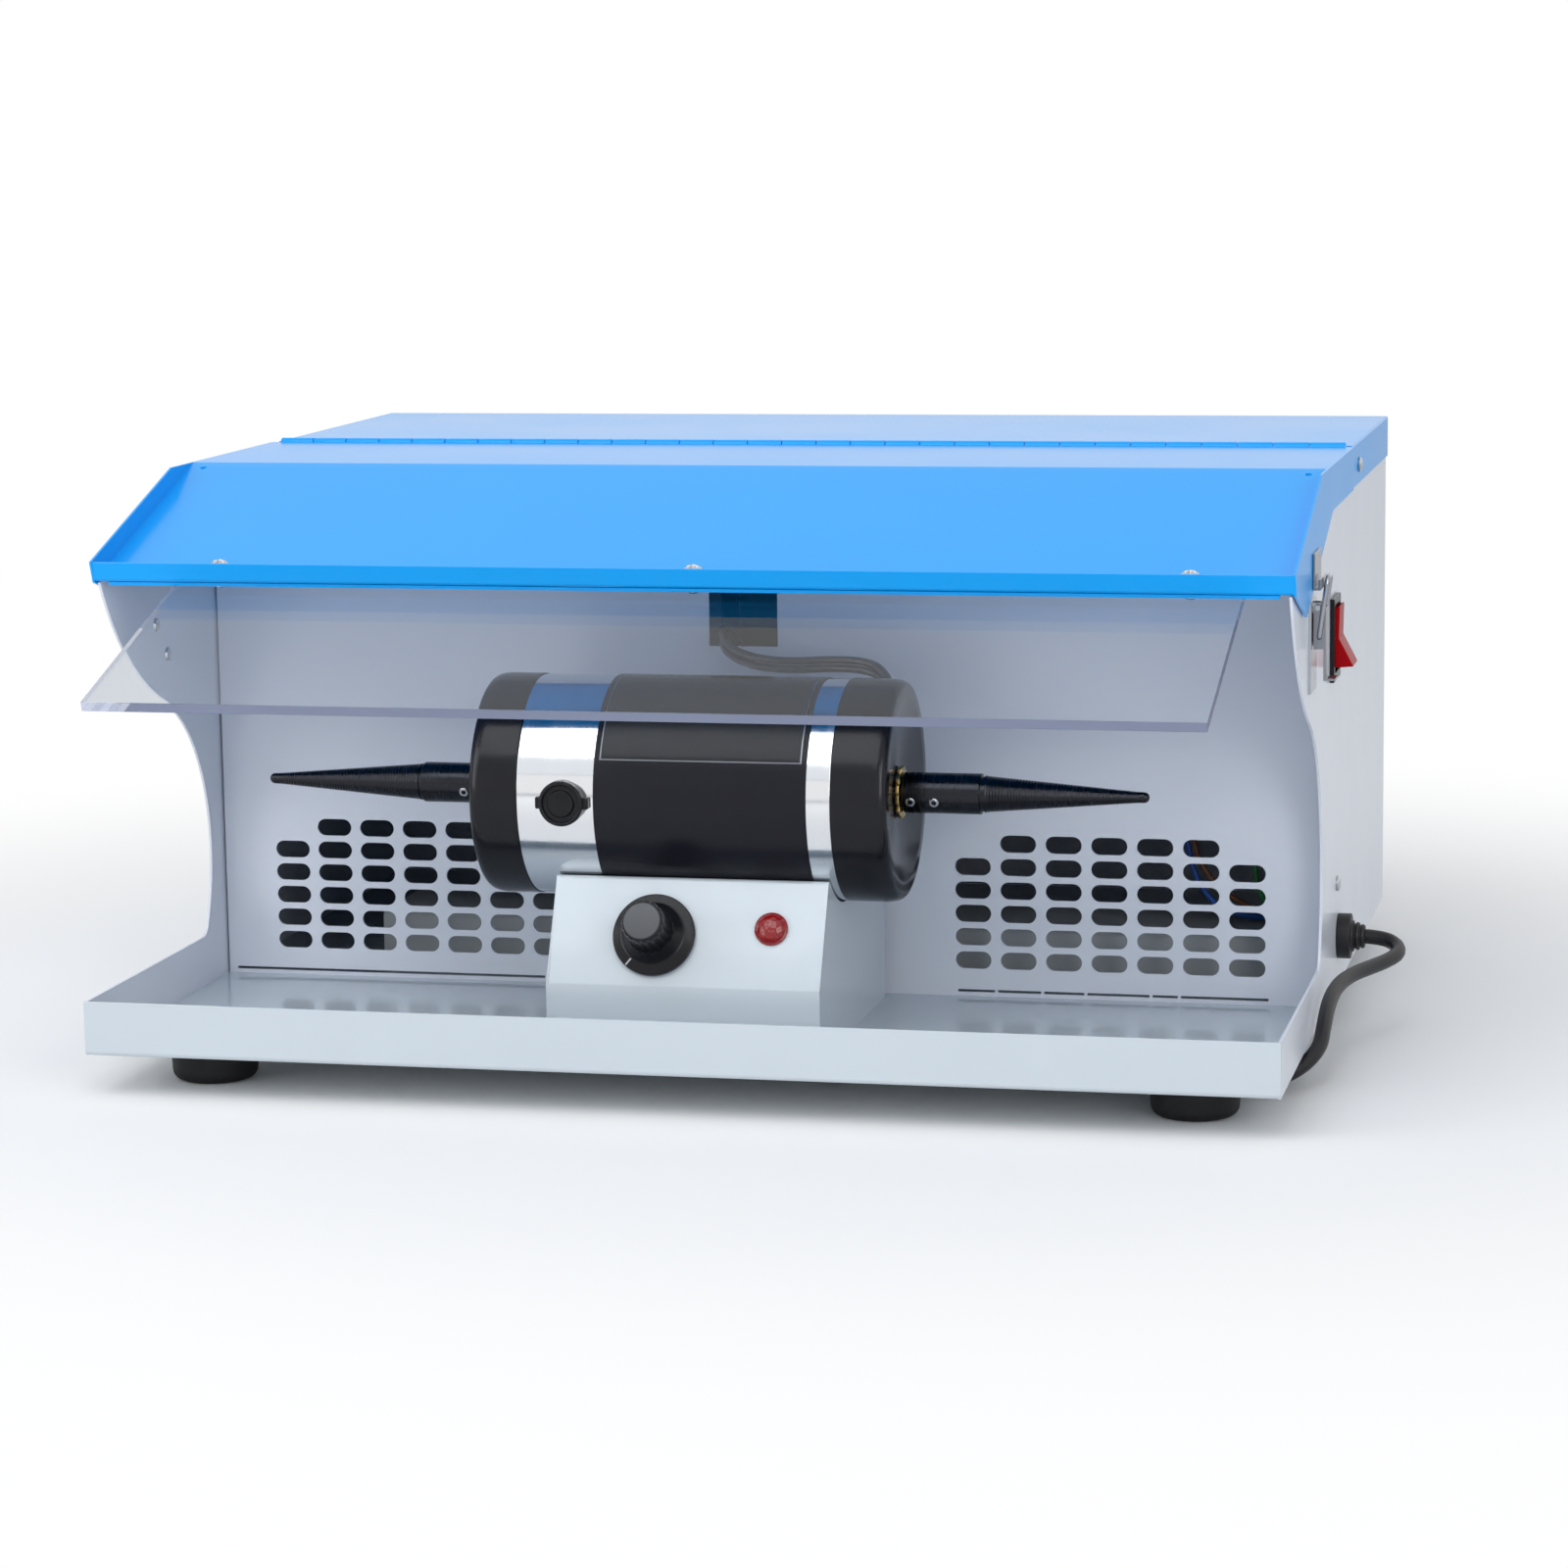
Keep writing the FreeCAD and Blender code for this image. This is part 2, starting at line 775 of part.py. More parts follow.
def make_side_panel(x0, extra_cuts):
    x1 = x0 + sheet
    panel = Part.Face(side_outline(x0)).extrude(Vector(sheet, 0, 0))
    cuts = [under_hood(x0 - over, x1 + over)]
    for y, z, radius in [(cover_screw_y, cover_screw_z, screw_shank),
                         (rivet_front_y, rivet_front_z, rivet_radius),
                         (rivet_rear_y, rivet_rear_z, rivet_radius)]:
        cuts.append(rod_x(x0 - over, x1 + over, y, z, radius + hole_gap))
    return panel.cut(group(cuts + extra_cuts))


def make_side_panel_right():
    x0 = width - sheet - over
    x1 = width + over
    half_width = switch_width / 2 - switch_border / 2
    half_height = switch_height / 2 - switch_border / 2
    cuts = [box(x0, x1, switch_y - half_width, switch_y + half_width,
                switch_z - half_height, switch_z + half_height),
            rod_x(x0, x1, gland_y, gland_z, gland_thread + hole_gap),
            rod_x(x0, x1, earth_screw_y, earth_screw_z, screw_shank + hole_gap)]
    return make_side_panel(width - sheet, cuts)


def grille_places():
    places = []
    for column in range(grille_columns):
        for row in range(grille_rows):
            if row == 0 and column in (0, grille_columns - 1):
                continue
            z = grille_top - row * grille_pitch_z
            places.append((grille_margin + column * grille_pitch_x, z))
            places.append((width - grille_margin - column * grille_pitch_x, z))
    return places


def foot_slots():
    slots = [(foot_slot_left, foot_slot_left_end)]
    length = foot_slot_right_end - foot_slot_right
    start = foot_slot_right
    for share in foot_slot_tab_shares:
        tab = foot_slot_right + share * length
        slots.append((start, tab))
        start = tab + foot_slot_tab
    slots.append((start, foot_slot_right_end))
    return slots


def make_back_wall():
    left = sheet + wall_gap
    right = width - sheet - wall_gap
    notch_top = notch_bottom + notch_height
    outline = rectangle(left, right, sheet, wall_top, wall_y)
    holes = [rectangle(notch_left, notch_left + notch_width, notch_bottom, notch_top, wall_y)]
    for x, z in grille_places():
        holes.append(stadium(x, z, grille_slot_length, grille_slot_height, wall_y))
    for x0, x1 in foot_slots():
        holes.append(rectangle(x0, x1, foot_slot_z, foot_slot_z + foot_slot_height, wall_y))
    wall = holed_plate(outline, holes, sheet)
    back = wall_y + wall_flange
    flanges = [box(left, left + sheet, wall_y, back, sheet, wall_top),
               box(right - sheet, right, wall_y, back, sheet, wall_top),
               box(left, right, wall_y, back, wall_top - sheet, wall_top)]
    return fused([wall] + flanges)


def make_inner_ledge():
    points = [(ledge_y + ledge_depth, ledge_z), (ledge_y, ledge_z), (ledge_y, sheet),
              (ledge_y + ledge_foot, sheet)]
    ledge = folded(points, sheet, ledge_left, ledge_right)
    brace_y = ledge_y + ledge_depth - sheet
    braces = [box(ledge_left, ledge_left + sheet, ledge_y + over, brace_y, sheet, ledge_z - sheet),
              box(ledge_right - sheet, ledge_right, ledge_y + over, brace_y, sheet, ledge_z - sheet)]
    return fused([ledge] + braces)


def make_rear_panel():
    y = depth - sheet
    top = body_height - cover_sheet
    outline = rectangle(sheet, width - sheet, sheet, top, y)
    holes = []
    for i in range(vent_count):
        z = fan_z + (i - (vent_count - 1) / 2) * vent_pitch
        holes.append(stadium(fan_x, z, vent_slot_length, vent_slot_height, y))
    plate = holed_plate(outline, holes, sheet)
    foot = box(sheet, width - sheet, depth - sheet, depth, 0, sheet)
    cuts = []
    for x in (back_screw_inset, width - back_screw_inset):
        cuts.append(rod_y(y - over, depth + over, x, cover_screw_z, screw_shank + hole_gap))
    return fused([plate, foot]).cut(group(cuts))


def make_rear_cover():
    back = depth + cover_sheet
    left = -cover_sheet
    right = width + cover_sheet
    low = body_height - cover_flange
    shell = box(left, right, cover_front, back, low, body_height)
    hollow = box(0, width, cover_front - over, depth, low - over, body_height - cover_sheet)
    cuts = [hollow]
    for x in (back_screw_inset, width - back_screw_inset):
        cuts.append(rod_y(depth - over, back + over, x, cover_screw_z, screw_shank + hole_gap))
    cuts.append(rod_x(left - over, right + over, cover_screw_y, cover_screw_z, screw_shank + hole_gap))
    cover = shell.cut(group(cuts))
    edges = []
    for edge in cover.Edges:
        box_of = edge.BoundBox
        flat_top = box_of.ZMin > body_height - hole_gap
        outside = box_of.XMax < left + hole_gap or box_of.XMin > right - hole_gap
        behind = box_of.YMin > back - hole_gap
        if flat_top and (outside or behind):
            edges.append(edge)
    return cover.makeFillet(bend_radius, edges)


def screw(origin, direction, head_radius, head_height, shank_radius, shank_length):
    """A domed head that stands out of a surface, and its shank that goes in."""
    dome = head_radius * math.sqrt(0.5)
    profile = [(-shank_length, 0), (-shank_length, shank_radius), (0, shank_radius),
               (0, head_radius), (head_height * 0.5, head_radius), (head_height, dome),
               (head_height, 0)]
    return turned(profile, origin, direction)


def make_case_screws():
    screws = []
    for x, way in ((-cover_sheet, -1), (width + cover_sheet, 1)):
        screws.append(screw((x, cover_screw_y, cover_screw_z), (way, 0, 0), screw_head,
                            screw_head_height, screw_shank, sheet + cover_sheet + hole_gap))
    screws.append(screw((width, earth_screw_y, earth_screw_z), (1, 0, 0), screw_head,
                        screw_head_height, screw_shank, sheet + spade_length))
    for x in (back_screw_inset, width - back_screw_inset):
        screws.append(screw((x, depth + cover_sheet, cover_screw_z), (0, 1, 0), screw_head,
                            screw_head_height, screw_shank, sheet + cover_sheet + hole_gap))
    for x, y in foot_places():
        screws.append(screw((x, y, -foot_height + foot_recess_depth), (0, 0, -1),
                            foot_screw_head, bolt_head_height, foot_screw_radius,
                            foot_height - foot_recess_depth + sheet))
    for x, way in ((0, -1), (width, 1)):
        base = x + way * latch_plate
        for y, z in ((rivet_front_y, rivet_front_z), (rivet_rear_y, rivet_rear_z)):
            inside = turned([(0, 0), (0, rivet_head), (rivet_head_height, rivet_head),
                             (rivet_head_height, 0)], (x - way * sheet, y, z), (-way, 0, 0))
            shank = turned([(0, 0), (0, rivet_radius), (sheet + latch_plate, rivet_radius),
                            (sheet + latch_plate, 0)], (base, y, z), (-way, 0, 0))
            screws.append(fused([inside, shank]))
    return group(screws)


def make_hinge_leaf(first, toward, bore_gap):
    """Every second knuckle from first, on a strip that reaches away from the pin."""
    length = width - 2 * hinge_end
    pitch = length / knuckle_count
    clear = knuckle_radius + rest_gap
    strip_top = body_height - (lid_sheet if toward < 0 else cover_sheet)
    strip_bottom = strip_top - hinge_leaf_sheet
    near = hinge_y + toward * clear
    far = hinge_y + toward * hinge_leaf_width
    pieces = [box(hinge_end, width - hinge_end, min(near, far), max(near, far), strip_bottom, strip_top)]
    for i in range(first, knuckle_count, 2):
        x0 = hinge_end + i * pitch + knuckle_gap / 2
        x1 = hinge_end + (i + 1) * pitch - knuckle_gap / 2
        tab_end = hinge_y + toward * hinge_pin_radius
        pieces.append(rod_x(x0, x1, hinge_y, hinge_z, knuckle_radius))
        pieces.append(box(x0, x1, min(near, tab_end), max(near, tab_end), strip_bottom, strip_top))
    leaf = fused(pieces)
    bore = rod_x(hinge_end - over, width - hinge_end + over, hinge_y, hinge_z,
                 hinge_pin_radius + bore_gap)
    return leaf.cut(bore)


def make_lid_panel():
    left = -lid_side_gap
    right = width + lid_side_gap
    lip_top = hood_spot(0, lid_lip)
    points = [(lip_top[0], lip_top[1]), (lid_front_y, lid_front_z),
              (lid_bend_y, body_height), (lid_rear, body_height)]
    below = [(y, z) for y, z in reversed(points)]
    panel = folded(below, lid_sheet, left, right)
    skirt = [(skirt_rear_y, body_height), (skirt_top_y, body_height), (skirt_nose_y, skirt_nose_z),
             hood_spot(-lid_sheet, -lid_sheet), (skirt_tip_y, skirt_tip_z),
             (skirt_knee_y, skirt_knee_z), (skirt_rear_y, skirt_rear_z)]
    skirts = [prism_x(skirt, left - lid_sheet, left), prism_x(skirt, right, right + lid_sheet)]
    lid = fused([panel] + skirts)
    cuts = []
    for x in visor_screw_places():
        y, z = hood_spot(visor_screw_line, over)
        cuts.append(Part.makeCylinder(screw_shank + hole_gap, over * 4, Vector(x, y, z), hood_down()))
    for x in (relief_inset, width - relief_inset):
        cuts.append(rod_z(body_height - over * 2, body_height + over, x, lid_bend_y - relief_inset,
                          relief_hole))
    return lid.cut(group(cuts))


def hood_down():
    return Vector(0, math.sin(hood_slope), -math.cos(hood_slope))


def visor_screw_places():
    pitch = (width - visor_screw_first - visor_screw_last_inset) / (visor_screw_count - 1)
    return [visor_screw_first + i * pitch for i in range(visor_screw_count)]


def visor_holes():
    holes = []
    for x in visor_screw_places():
        y, z = hood_spot(visor_screw_line, over)
        holes.append(Part.makeCylinder(screw_shank + hole_gap, over * 4, Vector(x, y, z), hood_down()))
    return group(holes)


def make_clamp_strip():
    slab = hood_slab(0, strip_width, -lid_sheet - strip_thickness, -lid_sheet,
                     strip_inset, width - strip_inset)
    return slab.cut(visor_holes())


def make_visor():
    top = -lid_sheet - strip_thickness
    slab = hood_slab(-visor_reach, visor_under, top - visor_thickness, top,
                     visor_left, visor_left + visor_width)
    return slab.cut(visor_holes())


def make_visor_screws():
    stack = lid_sheet + strip_thickness + visor_thickness
    screws = []
    for x in visor_screw_places():
        y, z = hood_spot(visor_screw_line, 0)
        up = (0, -math.sin(hood_slope), math.cos(hood_slope))
        screws.append(screw((x, y, z), up, visor_screw_head, visor_screw_head_height, screw_shank,
                            stack + visor_nut_height))
        low_y, low_z = hood_spot(visor_screw_line, -stack)
        down = (0, math.sin(hood_slope), -math.cos(hood_slope))
        dome = visor_nut_radius * math.sqrt(0.5)
        nut = turned([(0, screw_shank), (0, visor_nut_radius),
                      (visor_nut_height / 2, visor_nut_radius), (visor_nut_height, dome),
                      (visor_nut_height, screw_shank)], (x, low_y, low_z), down)
        screws.append(nut)
    return group(screws)


def make_keeper(x, way):
    """A hook plate on the hood's skirt: a plate, a ledge and an upturned lip."""
    out = x + way * keeper_out
    plate_out = x + way * keeper_plate
    lip_in = out - way * keeper_plate
    y0 = latch_y - keeper_width / 2
    y1 = latch_y + keeper_width / 2
    ledge_top = keeper_bottom + keeper_plate
    pieces = [box(min(x, plate_out), max(x, plate_out), y0, y1, keeper_bottom, keeper_top),
              box(min(x, out), max(x, out), y0, y1, keeper_bottom, ledge_top),
              box(min(lip_in, out), max(lip_in, out), y0, y1, keeper_bottom, keeper_bottom + keeper_lip)]
    return fused(pieces)


def make_latch_keepers():
    face = lid_side_gap + lid_sheet
    return group([make_keeper(-face, -1), make_keeper(width + face, 1)])


def make_latch_base(x, way):
    """A base plate on the panel, with two ears that carry the lever's pin."""
    def at(out0, out1, y0, y1, z0, z1):
        a = x + way * out0
        b = x + way * out1
        return box(min(a, b), max(a, b), y0, y1, z0, z1)

    y0 = latch_y - latch_base_width / 2
    y1 = latch_y + latch_base_width / 2
    pieces = [at(0, latch_plate, y0, y1, latch_base_bottom, latch_base_top)]
    pivot_x = x + way * latch_pivot_out
    for side in (-1, 1):
        outer = latch_y + side * (lever_width / 2 - latch_ear_inset)
        inner = outer - side * latch_ear_thickness
        ear_y0 = min(outer, inner)
        ear_y1 = max(outer, inner)
        pieces.append(at(0, latch_pivot_out, ear_y0, ear_y1, latch_pivot_z - latch_ear_radius,
                         latch_pivot_z + latch_ear_radius))
        pieces.append(rod_y(ear_y0, ear_y1, pivot_x, latch_pivot_z, latch_ear_radius))
    plate = fused(pieces)
    cuts = [rod_y(y0 - over, y1 + over, pivot_x, latch_pivot_z, latch_pin_radius)]
    for y, z in ((rivet_front_y, rivet_front_z), (rivet_rear_y, rivet_rear_z)):
        cuts.append(rod_x(x - over, x + over, y, z, rivet_radius + hole_gap))
    pin = rod_y(latch_y - lever_width / 2 - bail_gap, latch_y + lever_width / 2 + bail_gap,
                pivot_x, latch_pivot_z, latch_pin_radius)
    return [plate.cut(group(cuts)), pin]


def make_latch_bases():
    return group(make_latch_base(0, -1) + make_latch_base(width, 1))


def make_latch_lever(x, way):
    """A pressed lever: a web with two cheeks and an outturned finger lip at its foot."""
    def at(out0, out1, y0, y1, z0, z1):
        a = x + way * out0
        b = x + way * out1
        return box(min(a, b), max(a, b), y0, y1, z0, z1)

    y0 = latch_y - lever_width / 2
    y1 = latch_y + lever_width / 2
    web_in = lever_outside - lever_plate
    pieces = [at(web_in, lever_outside, y0, y1, lever_bottom, latch_pivot_z),
              at(web_in, lever_lip_out, y0, y1, lever_bottom - lever_plate, lever_bottom)]
    pivot_x = x + way * latch_pivot_out
    for a, b in ((y0, y0 + lever_plate), (y1 - lever_plate, y1)):
        pieces.append(at(lever_inside, web_in, a, b, lever_cheek_bottom, latch_pivot_z))
        pieces.append(rod_y(a, b, pivot_x, latch_pivot_z, latch_pivot_out - lever_inside))
    cuts = [rod_y(y0 - over, y1 + over, pivot_x, latch_pivot_z, latch_pin_radius + latch_pin_fit),
            rod_y(y0 - over, y1 + over, x + way * bail_out, bail_z, bail_radius + latch_pin_fit)]
    return fused(pieces).cut(group(cuts))


def make_latch_bail(x, way):
    """A wire loop whose two ends turn into the lever's cheeks."""
    tilt = math.radians(bail_tilt)
    leg = latch_y - lever_width / 2 - bail_gap - bail_radius
    other_leg = 2 * latch_y - leg
    reach = lever_width / 2 - lever_plate - bail_stub

    def spot(y, up):
        return (x + way * (bail_out + up * math.sin(tilt)), y, bail_z + up * math.cos(tilt))

    foot = Vector(*spot(leg, 0))
    edges = []
    top = bail_length
    low = [Vector(*spot(latch_y - reach, 0)), foot, Vector(*spot(leg, top)),
           Vector(*spot(other_leg, top)), Vector(*spot(other_leg, 0)),
           Vector(*spot(latch_y + reach, 0))]
    start = low[0]
    for i in range(1, len(low) - 1):
        back = (low[i - 1] - low[i]).normalize()
        ahead = (low[i + 1] - low[i]).normalize()
        radius = bail_foot_bend if i in (1, len(low) - 2) else bail_corner
        inward = (back + ahead).normalize()
        half_turn = (math.pi - back.getAngle(ahead)) / 2
        trim = radius * math.tan(half_turn)
        middle = low[i] + inward * (radius / math.cos(half_turn) - radius)
        edges.append(line(start, low[i] + back * trim))
        edges.append(arc(low[i] + back * trim, middle, low[i] + ahead * trim))
        start = low[i] + ahead * trim
    edges.append(line(start, low[-1]))
    return swept(Part.Wire(edges), bail_radius)


def make_rubber_feet():
    profile = [(0, foot_screw_radius + hole_gap), (0, foot_radius)]
    lower = foot_height - foot_edge
    profile += [(lower, foot_base_radius)]
    profile += [(lower + foot_edge * math.sin(a), foot_base_radius - foot_edge * (1 - math.cos(a)))
                for a in (math.pi / 8, math.pi / 4, math.pi * 3 / 8, math.pi / 2)]
    profile += [(foot_height, foot_recess), (foot_height - foot_recess_depth, foot_recess),
                (foot_height - foot_recess_depth, foot_screw_radius + hole_gap)]
    return group([turned(profile, (x, y, 0), (0, 0, -1)) for x, y in foot_places()])


def motor_cut(gap):
    return rod_x(cap_left_end, cap_right_end, motor_y, motor_z, sleeve_radius + gap)


def make_control_box():
    points = [(box_front, sheet), (box_front, box_skirt), (box_top_y, box_top),
              (box_rear, box_top), (box_rear, sheet)]
    clockwise = list(reversed(points))
    shell = folded(clockwise, sheet, box_left, box_right)
    sides = [prism_x(points, box_left, box_left + sheet),
             prism_x(points, box_right - sheet, box_right)]
    cuts = [motor_cut(motor_cut_gap)]
    knob = Vector(*box_face_spot(knob_x, knob_slope))
    lamp = Vector(*box_face_spot(lamp_x, lamp_slope))
    out = Vector(*face_out)
    cuts.append(Part.makeCylinder(pot_bush_radius + hole_gap, over * 2, knob - out * over, out))
    cuts.append(Part.makeCylinder(lamp_body_radius + hole_gap, over * 2, lamp - out * over, out))
    return fused([shell] + sides).cut(group(cuts))


def make_indicator_lamp():
    profile = [(-lamp_body, 0), (-lamp_body, lamp_body_radius), (0, lamp_body_radius), (0, lamp_radius),
               (lamp_rim, lamp_radius), (lamp_rim + lamp_shoulder, lamp_shoulder_radius),
               (lamp_rim + lamp_dome, lamp_flat_radius), (lamp_rim + lamp_dome, 0)]
    return turned(profile, box_face_spot(lamp_x, lamp_slope), face_out)


def make_potentiometer():
    inner = -sheet - hole_gap
    bore = pot_shaft_radius + pot_shaft_fit
    profile = [(inner - pot_depth, bore), (inner - pot_depth, pot_radius), (inner, pot_radius),
               (inner, pot_bush_radius), (pot_bush, pot_bush_radius), (pot_bush, bore)]
    return turned(profile, box_face_spot(knob_x, knob_slope), face_out)


def make_potentiometer_shaft():
    profile = [(-pot_shaft_in, 0), (-pot_shaft_in, pot_shaft_radius),
               (pot_shaft_out, pot_shaft_radius), (pot_shaft_out, 0)]
    return turned(profile, box_face_spot(knob_x, knob_slope), face_out)


def make_speed_knob():
    bore = pot_shaft_radius + pot_shaft_fit
    top = knob_gap + knob_height
    skirt = knob_gap + knob_skirt
    profile = [(knob_gap, knob_recess_radius), (knob_gap, knob_skirt_radius), (skirt, knob_skirt_radius),
               (skirt + hole_gap, knob_shoulder), (knob_gap + knob_shoulder_height, knob_grip_radius),
               (top - knob_edge, knob_top_radius), (top, knob_top_radius - knob_edge), (top, 0),
               (pot_shaft_out + rest_gap, 0), (pot_shaft_out + rest_gap, bore),
               (knob_gap + knob_recess, bore), (knob_gap + knob_recess, knob_recess_radius)]
    knob = turned(profile, (0, 0, 0), (0, 0, 1))
    grip = knob_gap + knob_shoulder_height
    flutes = []
    for i in range(knob_flutes):
        angle = 2 * math.pi * i / knob_flutes
        flutes.append(rod_z(grip, top + over, knob_grip_radius * math.cos(angle),
                            knob_grip_radius * math.sin(angle), knob_flute))
    knob = knob.cut(group(flutes))
    knob.Placement = Placement(Vector(*box_face_spot(knob_x, knob_slope)),
                               Rotation(Vector(0, 0, 1), Vector(*face_out)))
    return knob


def make_motor_cradle():
    base = box(cradle_left, cradle_right, cradle_front, cradle_rear, sheet, sheet + cradle_base)
    webs = []
    for x in (cradle_left, cradle_right - cradle_web):
        webs.append(box(x, x + cradle_web, cradle_front, cradle_rear, sheet, cradle_shoulder))
    holes = []
    for x, y in cradle_bolt_places():
        holes.append(rod_z(-over, over * 2, x, y, bolt_radius + hole_gap))
    return fused([base] + webs).cut(group([motor_cut(0)] + holes))


def cradle_bolt_places():
    places = []
    for x in (cradle_left + bolt_inset + cradle_web, cradle_right - bolt_inset - cradle_web):
        for y in (cradle_front + bolt_inset, cradle_rear - bolt_inset):
            places.append((x, y))
    return places


def make_cradle_bolts():
    top = sheet + cradle_base
    bolts = []
    for x, y in cradle_bolt_places():
        bolts.append(screw((x, y, top), (0, 0, 1), bolt_head, bolt_head_height, bolt_radius,
                           cradle_base - hole_gap))
    return group(bolts)


def make_speed_board():
    z = sheet + board_standoff
    x1 = board_left + board_length
    y1 = board_front + board_width
    top = z + board_thickness
    board = box(board_left, x1, board_front, y1, z, top)
    pieces = [board]
    inset = board_standoff_radius + rest_gap
    for x in (board_left + inset, x1 - inset):
        for y in (board_front + inset, y1 - inset):
            pieces.append(rod_z(sheet, z, x, y, board_standoff_radius))
    pieces.append(box(board_left + inset, board_left + inset + heat_sink_width,
                      board_front + inset, y1 - inset, top, top + heat_sink_height))
    pieces.append(box(x1 - inset - relay_size, x1 - inset, board_front + inset,
                      board_front + inset + relay_size, top, top + relay_size))
    return group(pieces)


def make_motor_tube():
    outer = rod_x(tube_left, tube_right, motor_y, motor_z, tube_radius)
    inner = rod_x(tube_left - over, tube_right + over, motor_y, motor_z, tube_radius - tube_wall)
    ports = rod_y(motor_y - tube_radius - over, motor_y + tube_radius + over, brush_x, motor_z,
                  brush_plug_radius + hole_gap)
    return outer.cut(group([inner, ports]))


def make_motor_sleeve():
    outer = rod_x(sleeve_left, sleeve_right, motor_y, motor_z, sleeve_radius)
    return outer.cut(rod_x(sleeve_left - over, sleeve_right + over, motor_y, motor_z, tube_radius))


def make_end_cap(end, rim, way):
    """A turned cap: rounded edge, dished face, bearing hub, and a spigot inside the tube."""
    radius = sleeve_radius - hole_gap
    length = abs(rim - end)
    spigot = tube_radius - tube_wall - hole_gap
    inside = radius - cap_wall
    hub = bearing_radius + hub_wall
    plate = cap_dish + cap_plate
    profile = [(length, radius)]
    profile += rounded(cap_edge, 90, 180, cap_edge, radius - cap_edge)
    profile += [(0, cap_face_radius), (cap_dish, cap_dish_radius), (cap_dish, shaft_radius + shaft_clearance),
                (plate, shaft_radius + shaft_clearance), (plate, bearing_radius),
                (plate + bearing_width, bearing_radius), (plate + bearing_width, hub),
                (plate, hub), (plate, inside), (length + cap_spigot, inside),
                (length + cap_spigot, spigot), (length, spigot)]
    return turned(profile, (end, motor_y, motor_z), (way, 0, 0))


def make_bearings():
    plate = cap_dish + cap_plate
    rings = []
    for end, way in ((cap_left_end, 1), (cap_right_end, -1)):
        profile = [(plate, shaft_radius + bearing_fit), (plate, bearing_radius),
                   (plate + bearing_width, bearing_radius),
                   (plate + bearing_width, shaft_radius + bearing_fit)]
        rings.append(turned(profile, (end, motor_y, motor_z), (way, 0, 0)))
    return group(rings)


def make_stator_core():
    inner = tube_radius - tube_wall
    ring = rod_x(stator_left, stator_right, motor_y, motor_z, inner)
    bore = rod_x(stator_left - over, stator_right + over, motor_y, motor_z, stator_bore)
    reach = (inner + stator_bore) / 2
    slots = [box(stator_left - over, stator_right + over, motor_y - reach, motor_y + reach,
                 motor_z - pole_slot / 2, motor_z + pole_slot / 2)]
    return ring.cut(group([bore] + slots))


def make_armature():
    radius = stator_bore - air_gap
    stack = rod_x(stator_left, stator_right, motor_y, motor_z, radius)
    cuts = [rod_x(stator_left - over, stator_right + over, motor_y, motor_z, shaft_radius)]
    for i in range(armature_slots):
        slot = box(stator_left - over, stator_right + over, -armature_slot / 2, armature_slot / 2,
                   radius - armature_slot_depth, radius + over)
        slot.rotate(Vector(0, 0, 0), Vector(1, 0, 0), 360 * i / armature_slots)
        slot.translate(Vector(0, motor_y, motor_z))
        cuts.append(slot)
    return stack.cut(group(cuts))


def make_commutator():
    x0 = brush_x - commutator_width / 2
    x1 = brush_x + commutator_width / 2
    ring = rod_x(x0, x1, motor_y, motor_z, commutator_radius)
    return ring.cut(rod_x(x0 - over, x1 + over, motor_y, motor_z, shaft_radius))


def make_carbon_brushes():
    outer = tube_radius - brush_plug_length - rest_gap
    brushes = []
    for way in (-1, 1):
        a = motor_y + way * (commutator_radius + brush_gap)
        b = motor_y + way * outer
        holder_a = motor_y + way * (commutator_radius + brush_outer / 2)
        brush = box(brush_x - brush_width / 2, brush_x + brush_width / 2, min(a, b), max(a, b),
                    motor_z - brush_height / 2, motor_z + brush_height / 2)
        sleeve = box(brush_x - brush_outer / 2, brush_x + brush_outer / 2,
                     min(holder_a, b), max(holder_a, b),
                     motor_z - brush_outer / 2 - hole_gap, motor_z + brush_outer / 2 + hole_gap)
        hollow = box(brush_x - brush_width / 2, brush_x + brush_width / 2,
                     min(holder_a, b) - over, max(holder_a, b) + over,
                     motor_z - brush_height / 2, motor_z + brush_height / 2)
        brushes.append(brush)
        brushes.append(sleeve.cut(hollow))
    return group(brushes)


def make_brush_caps():
    """Screwed caps with a raised rim, a centre disc and two ears, seated on the tube."""
    caps = []
    rim = tube_radius + brush_cap_proud
    base = tube_radius - brush_plug_length
    recess = rim - brush_cap_recess
    seat = math.sqrt(tube_radius ** 2 - brush_cap_radius ** 2) - hole_gap
    profile = [(base, 0), (base, brush_plug_radius), (seat, brush_plug_radius),
               (seat, brush_cap_radius), (rim - brush_cap_rim / 2, brush_cap_radius),
               (rim, brush_cap_radius - brush_cap_rim / 2), (rim, brush_cap_radius - brush_cap_rim),
               (recess, brush_cap_radius - brush_cap_rim - hole_gap), (recess, brush_cap_disc),
               (rim - hole_gap, brush_cap_disc - hole_gap), (rim - hole_gap, 0)]
    for way in (-1, 1):
        cap = turned(profile, (brush_x, motor_y, motor_z), (0, way, 0))
        ears = []
        for side in (-1, 1):
            a = brush_x + side * (brush_cap_radius - brush_ear)
            b = brush_x + side * (brush_cap_radius + brush_ear_out)
            c = motor_y + way * seat
            d = motor_y + way * (rim - brush_cap_rim)
            ears.append(box(min(a, b), max(a, b), min(c, d), max(c, d),
                            motor_z - brush_ear_height / 2, motor_z + brush_ear_height / 2))
        body = fused([cap] + ears)
        skin = rod_x(tube_left, sleeve_left, motor_y, motor_z, tube_radius)
        plug = rod_y(motor_y - rim, motor_y + rim, brush_x, motor_z, brush_plug_radius)
        caps.append(body.cut(skin.cut(plug)))
    return group(caps)


